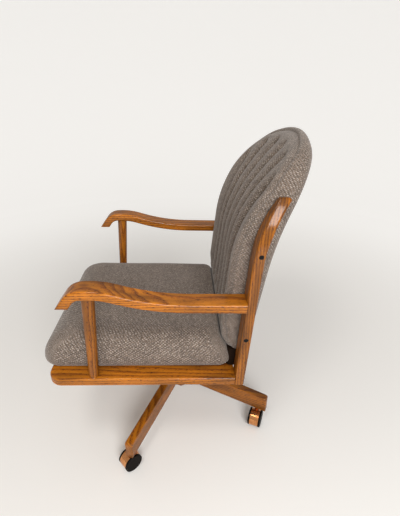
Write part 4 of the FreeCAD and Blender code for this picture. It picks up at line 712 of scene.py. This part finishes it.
def finish_cushion(piece: Object, cover: Material, fill: float, *nodes: str) -> None:
    """Covers a padded piece, puts it on the seat and hides what it stands for.

    Args:
        piece: The padded piece.
        cover: Its cloth.
        fill: How full it is, from 0 to 1; not used.
        nodes: The CAD nodes that it replaces.
    """
    piece.data.materials.append(cover)
    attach(piece, "seat")
    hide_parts(*nodes)
    LOG.info("%s: %d faces", piece.name, len(piece.data.polygons))


@dataclass(frozen=True)
class ChannelBack:
    """The back: a front panel of padded channels that fan out to an arched top, a boxing
    strip round the arch, and an outside back sewn in behind."""

    bottom: float = 424.5
    crest: float = 996.0
    half_width: float = 238.0
    crown_radius: float = 452.0
    corner_start: float = 131.0
    front_y: float = 143.25
    front_slope: float = 4.5
    front_bend_z: float = 676.9
    front_bend_radius: float = 407.0
    front_upper_z: float = 869.0
    front_upper_radius: float = 710.0
    rear_y: float = 236.2
    rear_bend_z: float = 655.0
    rear_bend_radius: float = 904.0
    rear_slope: float = 7.54
    dish: float = 10.0
    channels: int = 7
    channel_bulge: float = 9.0
    groove_depth: float = 24.0
    channel_points: int = 18
    column_ease: float = 0.35
    fan_pull: float = 0.08
    foot_pull: float = 0.4
    top_pull: float = 0.3
    foot_height: float = 40.0
    foot_tuck: float = 22.0
    foot_fade: float = 50.0
    groove_stop: float = 20.0
    groove_fade: float = 26.0
    seam_inset: float = 10.0
    roll_width: float = 18.0
    roll_depth: float = 13.0
    boxing_front: float = 12.0
    boxing_rear: float = 34.0
    front_share: float = 0.35
    rear_share: float = 0.6
    rear_inset: float = 20.0
    rear_dome: float = 4.0
    dome_width: float = 60.0
    rows: int = 150

    @property
    def crown_lean(self) -> float:
        """Angle from upright at which the crown arc meets the corner arc."""
        return math.asin(self.corner_start / self.crown_radius)

    @property
    def corner_radius(self) -> float:
        """Radius that brings the corner arc to the upright side without a bend."""
        return (self.half_width - self.corner_start) / (1 - math.sin(self.crown_lean))

    @property
    def corner_x(self) -> float:
        """X of the corner arc's centre."""
        return self.half_width - self.corner_radius

    @property
    def corner_z(self) -> float:
        """Height of the corner arc's centre, where the straight side ends."""
        cosine = math.cos(self.crown_lean)
        return self.crest - self.crown_radius + (self.crown_radius - self.corner_radius) * cosine

    def leaning_arc(self, start: Array | float, lean: Array | float, radius: float,
                    rise: Array) -> tuple[Array, Array]:
        """A leaning line that runs into an arc: y = start + radius (cos lean - cos t), where
        sin t = sin lean + rise / radius.

        Args:
            start: Y where the line ends and the arc begins.
            lean: The line's lean from upright there.
            radius: The arc's radius.
            rise: Heights above that place.

        Returns:
            Y and lean at each height.
        """
        turned = np.arcsin(np.clip(np.sin(lean) + rise / radius, -1, 1))
        arc = start + radius * (np.cos(lean) - np.cos(turned))
        return np.where(rise < 0, start + rise * np.tan(lean), arc), np.where(rise < 0, lean, turned)

    def front(self, z: Array) -> Array:
        """Y of the front before its channels: a leaning line, an arc and a wider arc.

        Args:
            z: Heights.

        Returns:
            Y at each height.
        """
        slope = math.radians(self.front_slope)
        below = np.minimum(z, self.front_upper_z) - self.front_bend_z
        y, lean = self.leaning_arc(self.front_y, slope, self.front_bend_radius, below)
        upper, _ = self.leaning_arc(y, lean, self.front_upper_radius, np.maximum(z - self.front_upper_z, 0))
        return upper

    def rear(self, z: Array) -> Array:
        """Y of the outside back: a leaning line, then a wide arc."""
        slope = math.radians(self.rear_slope)
        return self.leaning_arc(self.rear_y, slope, self.rear_bend_radius, z - self.rear_bend_z)[0]

    def rim(self, inset: float) -> tuple[Array, Array, Array]:
        """The panel's edge at a distance inside the outline, across its arched top.

        Args:
            inset: Distance inside the outline.

        Returns:
            Share of the width at each column, from -1 to 1, then the points of the edge (x, z)
            and the outline's outward direction there.
        """
        spread = self.column_shares()
        crown, corner = self.crown_radius - inset, self.corner_radius - inset
        crown_run = crown * self.crown_lean
        whole = crown_run + corner * (QUARTER - self.crown_lean)
        run = np.abs(spread) * whole * (1 - self.fan_pull + self.fan_pull * spread ** 2)
        angle = np.where(run < crown_run, run / crown, self.crown_lean + (run - crown_run) / corner)
        way = side_by_side(np.sin(angle) * np.sign(spread), np.cos(angle))
        on_crown = side_by_side(0 * angle, np.full_like(angle, self.crest - self.crown_radius))
        on_crown += crown * way
        side = side_by_side(np.sign(spread) * self.corner_x, np.full_like(angle, self.corner_z))
        return spread, np.where((run < crown_run)[:, None], on_crown, side + corner * way), way

    def column_shares(self) -> Array:
        """Places of the columns from -1 to 1, closer together beside each groove.

        Returns:
            The share of the half width at each column.
        """
        inner = np.linspace(0, math.pi, self.channel_points + 1)[:-1]
        eased, even = (1 - np.cos(inner)) / 2, inner / math.pi
        within = self.column_ease * eased + (1 - self.column_ease) * even
        starts = np.arange(self.channels)[:, None]
        return np.append((starts + within).ravel(), self.channels) * 2 / self.channels - 1

    def fan(self, inset: float) -> tuple[Array, Array]:
        """Lines that rise from the foot and fan out to the edge of the arched top.

        Each is a cubic curve that leaves the foot upright and reaches the edge leaning
        outwards by a share of the edge's own direction, none at the two outer sides.

        Args:
            inset: Distance of the panel's edge inside the outline.

        Returns:
            Plan points (x, z), rows by columns by 2, and the share of the width by column.
        """
        spread, top, way = self.rim(inset)
        foot = side_by_side(spread * (self.half_width - inset), np.full_like(spread, self.bottom))
        height = (top[:, 1] - foot[:, 1])[:, None]
        lean = np.arctan2(way[:, 0], way[:, 1]) * (1 - spread ** 4)
        leaning = side_by_side(np.sin(lean), np.cos(lean))
        first, second = foot + [0, 1] * height * self.foot_pull, top - leaning * height * self.top_pull
        t = np.linspace(0, 1, self.rows)[:, None, None]
        return ((1 - t) ** 3 * foot + 3 * (1 - t) ** 2 * t * first + 3 * (1 - t) * t ** 2 * second
                + t ** 3 * top), spread

    def inside(self, plan: Array) -> tuple[Array, Array]:
        """How far plan points lie inside the outline, and the outline's direction there.

        Args:
            plan: Points (x, z), in an array of any shape ending in 2.

        Returns:
            The depth of each point, and the outward direction at each.
        """
        x, z = np.abs(plan[..., 0]), plan[..., 1]
        corner_way = side_by_side(x - self.corner_x, z - self.corner_z)
        crown_way = side_by_side(x, z - self.crest + self.crown_radius)
        side_way = side_by_side(np.ones_like(x), np.zeros_like(x))
        lean = np.arctan2(corner_way[..., 0], corner_way[..., 1])
        on_side = z < self.corner_z
        on_crown = ~on_side & (lean < self.crown_lean)
        depth = np.where(on_side, self.half_width - x, np.where(
            on_crown, self.crown_radius - np.linalg.norm(crown_way, axis=-1),
            self.corner_radius - np.linalg.norm(corner_way, axis=-1)))
        way = np.where(on_side[..., None], side_way, np.where(on_crown[..., None], crown_way, corner_way))
        way = way / np.linalg.norm(way, axis=-1, keepdims=True)
        way[..., 0] *= np.sign(plan[..., 0])
        return depth, way

    def front_panel(self) -> tuple[Array, Array]:
        """The channelled front, millimetres in the seat's frame.

        A channel's section is the half circle (1 - (2 f - 1)^2)^0.5, f running across it, so
        it stands round between sharp grooves. The grooves run out below the arched edge, where
        the panel rolls back to its seam, and flatten against the seat at the foot, which tucks
        back under the front.

        Returns:
            Points, rows by columns by 3, and cloth coordinates in millimetres.
        """
        plan, spread = self.fan(self.seam_inset)
        x, z = plan[..., 0], plan[..., 1]
        depth, way = self.inside(plan)
        place = (spread + 1) * self.channels / 2
        across = place - np.floor(np.minimum(place, self.channels - 1e-6))
        across = np.where(place < 1, 0.5 + across / 2, across)
        across = np.where(place >= self.channels - 1, across / 2, across)
        padding = np.sqrt(1 - (2 * across - 1) ** 2)
        groove = (1 - padding) * smooth_step((depth - self.groove_stop) / self.groove_fade)
        foot = smooth_step((z - self.bottom - self.foot_height) / self.foot_fade)
        tuck = self.foot_tuck * np.clip(1 - (z - self.bottom) / self.foot_height, 0, 1) ** 1.5
        roll = np.clip((self.seam_inset + self.roll_width - depth) / self.roll_width, 0, 1)
        rolled = self.roll_depth * (1 - np.sqrt(1 - roll ** 2))
        dished = self.dish * (1 - (x / self.half_width) ** 2) - self.channel_bulge
        y = self.front(z) + tuck + rolled + foot * (dished + self.groove_depth * groove)
        points = side_by_side(x, y, z)
        line = side_by_side(y[:, spread.size // 2], z[:, spread.size // 2])
        run = run_length(line, 0)
        cloth = side_by_side(x, np.interp(z, line[:, 1], run)) + way * rolled[..., None]
        return points, cloth

    def edge_of(self, grid: Array) -> Array:
        """A grid's two sides and top as one run, from the left foot over to the right foot."""
        return np.concatenate([grid[:, 0], grid[-1, 1:-1], grid[::-1, -1]])

    def boxing(self, panel: Array) -> tuple[Array, Array]:
        """The strip round the arch, from the front seam to the rear seam.

        It swells from the seam by a quarter ellipse, runs back and rolls into the rear seam
        by another; both shrink with the back's thickness towards the crest.

        Args:
            panel: The front panel's points.

        Returns:
            Points, rows by columns by 3, and cloth coordinates in millimetres.
        """
        seam = self.edge_of(panel)
        _, way = self.inside(seam[:, [0, 2]])
        outline = seam[:, [0, 2]] + way * self.seam_inset
        rear_seam = outline - way * self.rear_inset
        back = self.rear(rear_seam[:, 1])
        thickness = back - seam[:, 1]
        front_depth = np.minimum(self.boxing_front, self.front_share * thickness)
        rear_depth = np.minimum(self.boxing_rear, self.rear_share * thickness)
        turn = np.linspace(0, QUARTER, 9)[:, None]
        flat = np.linspace(0, 1, 9)[1:-1, None]
        inset = np.concatenate([self.seam_inset * (1 - np.sin(turn)), 0 * flat,
                                self.rear_inset * (1 - np.cos(turn))])
        length = thickness - front_depth - rear_depth
        y = np.concatenate([front_depth * (1 - np.cos(turn)), front_depth + length * flat,
                            front_depth + length + rear_depth * np.sin(turn)]) + seam[:, 1]
        plan = outline[None] - way[None] * inset[..., None]
        points = side_by_side(plan[..., 0], y, plan[..., 1])
        along = run_length(points, 1)[:1].repeat(len(points), axis=0)
        cloth = side_by_side(along, run_length(points, 0))
        return points, cloth

    def rear_panel(self, proud: float, dome: float) -> tuple[Array, Array]:
        """A panel inside the rear seam.

        Args:
            proud: How far it stands behind the rear seam.
            dome: How much further its middle stands out.

        Returns:
            Points, rows by columns by 3, and cloth coordinates in millimetres.
        """
        plan, _ = self.fan(self.rear_inset)
        depth, _ = self.inside(plan)
        swell = smooth_step((depth - self.rear_inset) / self.dome_width)
        y = self.rear(plan[..., 1]) + proud + dome * swell
        points = side_by_side(plan[..., 0], y, plan[..., 1])
        return points, side_by_side(plan[..., 0], run_length(points, 0))

    def build(self, seat: SeatFrame, cover: Material) -> None:
        """Makes the front cover with its boxing, and the outside back.

        Args:
            seat: The seat's frame.
            cover: The tweed.
        """
        front, front_cloth = self.front_panel()
        strip, strip_cloth = self.boxing(front)
        lining, lining_cloth = self.rear_panel(0.0, 0.0)
        patches = [Patch(seat.place(points), cloth * MM) for points, cloth in
                   ((front, front_cloth), (strip, strip_cloth), (lining, lining_cloth))]
        finish_cushion(shell("back_cover", patches, sharp=60.0), cover, 0.85, "back_cushion")

        outer, outer_cloth = self.rear_panel(1.0, self.rear_dome)
        inner, inner_cloth = self.rear_panel(0.2, 0.0)
        rim = np.stack([self.edge_of(inner), self.edge_of(outer)])
        patches = [Patch(seat.place(points), cloth * MM) for points, cloth in
                   ((outer, outer_cloth), (inner, inner_cloth), (rim, 0 * rim[..., :2]))]
        finish_cushion(shell("outside_back", patches, sharp=60.0), cover, 0.5, "back_panel")


@dataclass(frozen=True)
class TiltSpring:
    """The coil round the tension bolt, in millimetres, made at one fixed length."""

    axis_y: float = -100.0
    coil_radius: float = 15.0
    wire_radius: float = 3.0
    turns: float = 6.0
    low: float = 196.3
    high: float = 258.7
    fixed_end: float = 262.0
    travel: float = 26.5
    steps: int = 480
    sides: int = 14

    def build(self, wire: Material) -> None:
        """Carries a circle along the helix (r cos u, r sin u, rising evenly) and caps its ends.

        Args:
            wire: The spring steel.
        """
        turn = np.linspace(0, 2 * math.pi * self.turns, self.steps)[:, None]
        rise = (self.high - self.low) / (2 * math.pi * self.turns)
        line = np.concatenate([self.coil_radius * np.cos(turn), self.axis_y + self.coil_radius * np.sin(turn),
                               self.low + rise * turn], axis=-1)
        out = np.concatenate([np.cos(turn), np.sin(turn), 0 * turn], axis=-1)
        way = np.concatenate([-self.coil_radius * np.sin(turn), self.coil_radius * np.cos(turn),
                              0 * turn + rise], axis=-1)
        way /= np.linalg.norm(way, axis=-1, keepdims=True)
        third = np.cross(way, out)
        around = np.linspace(0, 2 * math.pi, self.sides + 1)[None, :, None]
        ring = self.wire_radius * (np.cos(around) * out[:, None] + np.sin(around) * third[:, None])
        tube = line[:, None] + ring
        first, last = (np.broadcast_to(line[end], tube[:1].shape) for end in (0, -1))
        tube = np.concatenate([first, tube, last])
        piece = shell("tilt_spring_coil", [Patch(tube * MM, tube[..., :2] * MM)], sharp=50.0)
        piece.data.materials.append(wire)
        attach(piece, "swivel_head")
        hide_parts("tilt_spring")
        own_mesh(piece)
        LOG.info("%s: %d faces", piece.name, len(piece.data.polygons))


@dataclass(frozen=True)
class Lamp:
    """A round soft light: metres, watts and an sRGB colour."""

    name: str
    place: Triple
    size: float
    power: float
    colour: str


@dataclass(frozen=True)
class Studio:
    """The pale floor and backdrop, the soft lights and the photograph's camera."""

    camera_place: Triple = (1.0155, 0.03765, 1.1004)
    right: Triple = (0.0414468, 0.9991395, 0.0015344)
    up: Triple = (-0.4479737, 0.0172103, 0.8938811)
    forward: Triple = (-0.8930855, 0.0377359, -0.4483016)
    focal_pixels: float = 351.97
    picture_height: float = 516.0
    sensor: float = 36.0
    floor_radius: float = 2.6
    wall_radius: float = 6.0
    wall_height: float = 4.5
    paper_tone: str = "#EDEEEE"
    glow: float = 0.4
    glow_start: float = 0.6
    sky: str = "#FBF4EC"
    sky_strength: float = 0.52
    aim: Triple = (0.0, 0.0, 0.5)
    lamps: tuple[Lamp, ...] = (Lamp("broad_light", (2.9, 0.6, 2.0), 1.6, 88.0, "#FFFCF9"),
                               Lamp("high_light", (1.2, -0.5, 2.6), 0.6, 12.0, "#FFF8EF"))

    def build(self) -> None:
        """Sets the camera, the floor, the lights and the sky."""
        self.place_camera()
        self.lay_floor()
        self.light()
        bpy.context.scene.view_settings.view_transform = "Standard"

    def place_camera(self) -> None:
        """Puts the camera where the photograph was taken from."""
        data = bpy.data.cameras.new("camera")
        data.sensor_fit = "VERTICAL"
        data.sensor_height = self.sensor
        data.lens = self.sensor * self.focal_pixels / self.picture_height
        camera = linked("camera", data)
        backward = [-share for share in self.forward]
        turn = Matrix([self.right, self.up, backward]).transposed().to_4x4()
        camera.matrix_world = Matrix.Translation(self.camera_place) @ turn
        bpy.context.scene.camera = camera

    def lay_floor(self) -> None:
        """A round floor that curves up into a far wall; only its flat part lights the chair."""
        turn = np.linspace(0, 2 * math.pi, 97)[None, :]
        out = np.linspace(0, self.floor_radius, 14)
        bend = np.linspace(0, QUARTER, 20)
        paper = self.paper()
        self.round_sheet("floor", out, 0 * out, turn, paper)
        out = self.floor_radius + (self.wall_radius - self.floor_radius) * np.sin(bend)
        wall = self.round_sheet("backdrop", out, self.wall_height * (1 - np.cos(bend)), turn, paper)
        wall.visible_diffuse = wall.visible_glossy = wall.visible_shadow = False

    def round_sheet(self, name: str, out: Array, height: Array, turn: Array,
                    paper: Material) -> Object:
        """A surface of revolution about Z for the stage.

        Args:
            name: The object's name.
            out: Distance of each ring from the axis.
            height: Height of each ring.
            turn: Angles of the ring's points.
            paper: What it is made of.

        Returns:
            The new object.
        """
        x, y = out[:, None] * np.cos(turn), out[:, None] * np.sin(turn)
        points = side_by_side(x, y, np.broadcast_to(height[:, None], x.shape))
        mesh = bpy.data.meshes.new(name)
        mesh.from_pydata(points.reshape(-1, 3), [], grid_faces(*x.shape))
        mesh.shade_smooth()
        mesh.materials.append(paper)
        sheet = linked(name, mesh)
        return sheet

    def paper(self) -> Material:
        """Matt paper of one pale tone. Far from the chair it gives off a little light by
        itself, as a lit wall would.

        Returns:
            The material.
        """
        material = bpy.data.materials.new("matt_paper")
        material.use_nodes = True
        tree = material.node_tree
        shader = tree.nodes["Principled BSDF"]
        put = partial(add, tree)
        place = put("TexCoord").outputs["Object"]
        tone = linear(self.paper_tone)
        flat = put("VectorMath", {0: place, 1: (1.0, 1.0, 0.0)}, operation="MULTIPLY")
        away = put("VectorMath", {0: flat}, operation="LENGTH")
        glow = put("MapRange", {"Value": away.outputs["Value"], "From Min": self.glow_start,
                                "From Max": self.floor_radius, "To Max": self.glow},
                                interpolation_type="SMOOTHSTEP")
        feed(shader, {"Base Color": tone, "Emission Color": tone, "Emission Strength": glow,
                      "Roughness": 1.0, "Specular IOR Level": 0.0})
        return material

    def light(self) -> None:
        """A broad light from the camera's side, a smaller high one and a pale sky."""
        for lamp in self.lamps:
            data = bpy.data.lights.new(lamp.name, "AREA")
            data.shape = "DISK"
            data.size = lamp.size
            data.energy = lamp.power
            data.color = linear(lamp.colour)[:3]
            light = linked(lamp.name, data)
            light.rotation_euler = (Vector(lamp.place) - Vector(self.aim)).to_track_quat("Z", "Y").to_euler()
            light.location = lamp.place
        world = bpy.data.worlds.new("sky")
        world.use_nodes = True
        feed(world.node_tree.nodes["Background"], {"Color": linear(self.sky),
                                                   "Strength": self.sky_strength})
        bpy.context.scene.world = world


def dress_hardware() -> None:
    """Gives every CAD node that isn't oak the finish of its material slot."""
    finishes = {slot: finish.material() for slot, finish in SLOT_FINISHES.items()}
    for name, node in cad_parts.items():
        slot = node.material_slots[0].material.name
        if slot in finishes:
            dress_node(name, finishes[slot])


def main() -> None:
    """Builds the looks in order: hardware, wood, upholstery, spring, studio."""
    logging.basicConfig(level=logging.INFO, format="%(name)s %(message)s")
    seat = SeatFrame()
    tweed = WovenTweed("woven_tweed").material()
    dress_hardware()
    Woodwork().dress()
    SeatCushion().build(seat, tweed, PaintedShadeLining("painted_shade_lining").material())
    ChannelBack().build(seat, tweed)
    TiltSpring().build(SLOT_FINISHES["spring_steel"].material())
    Studio().build()


if __name__ == "__main__":
    main()
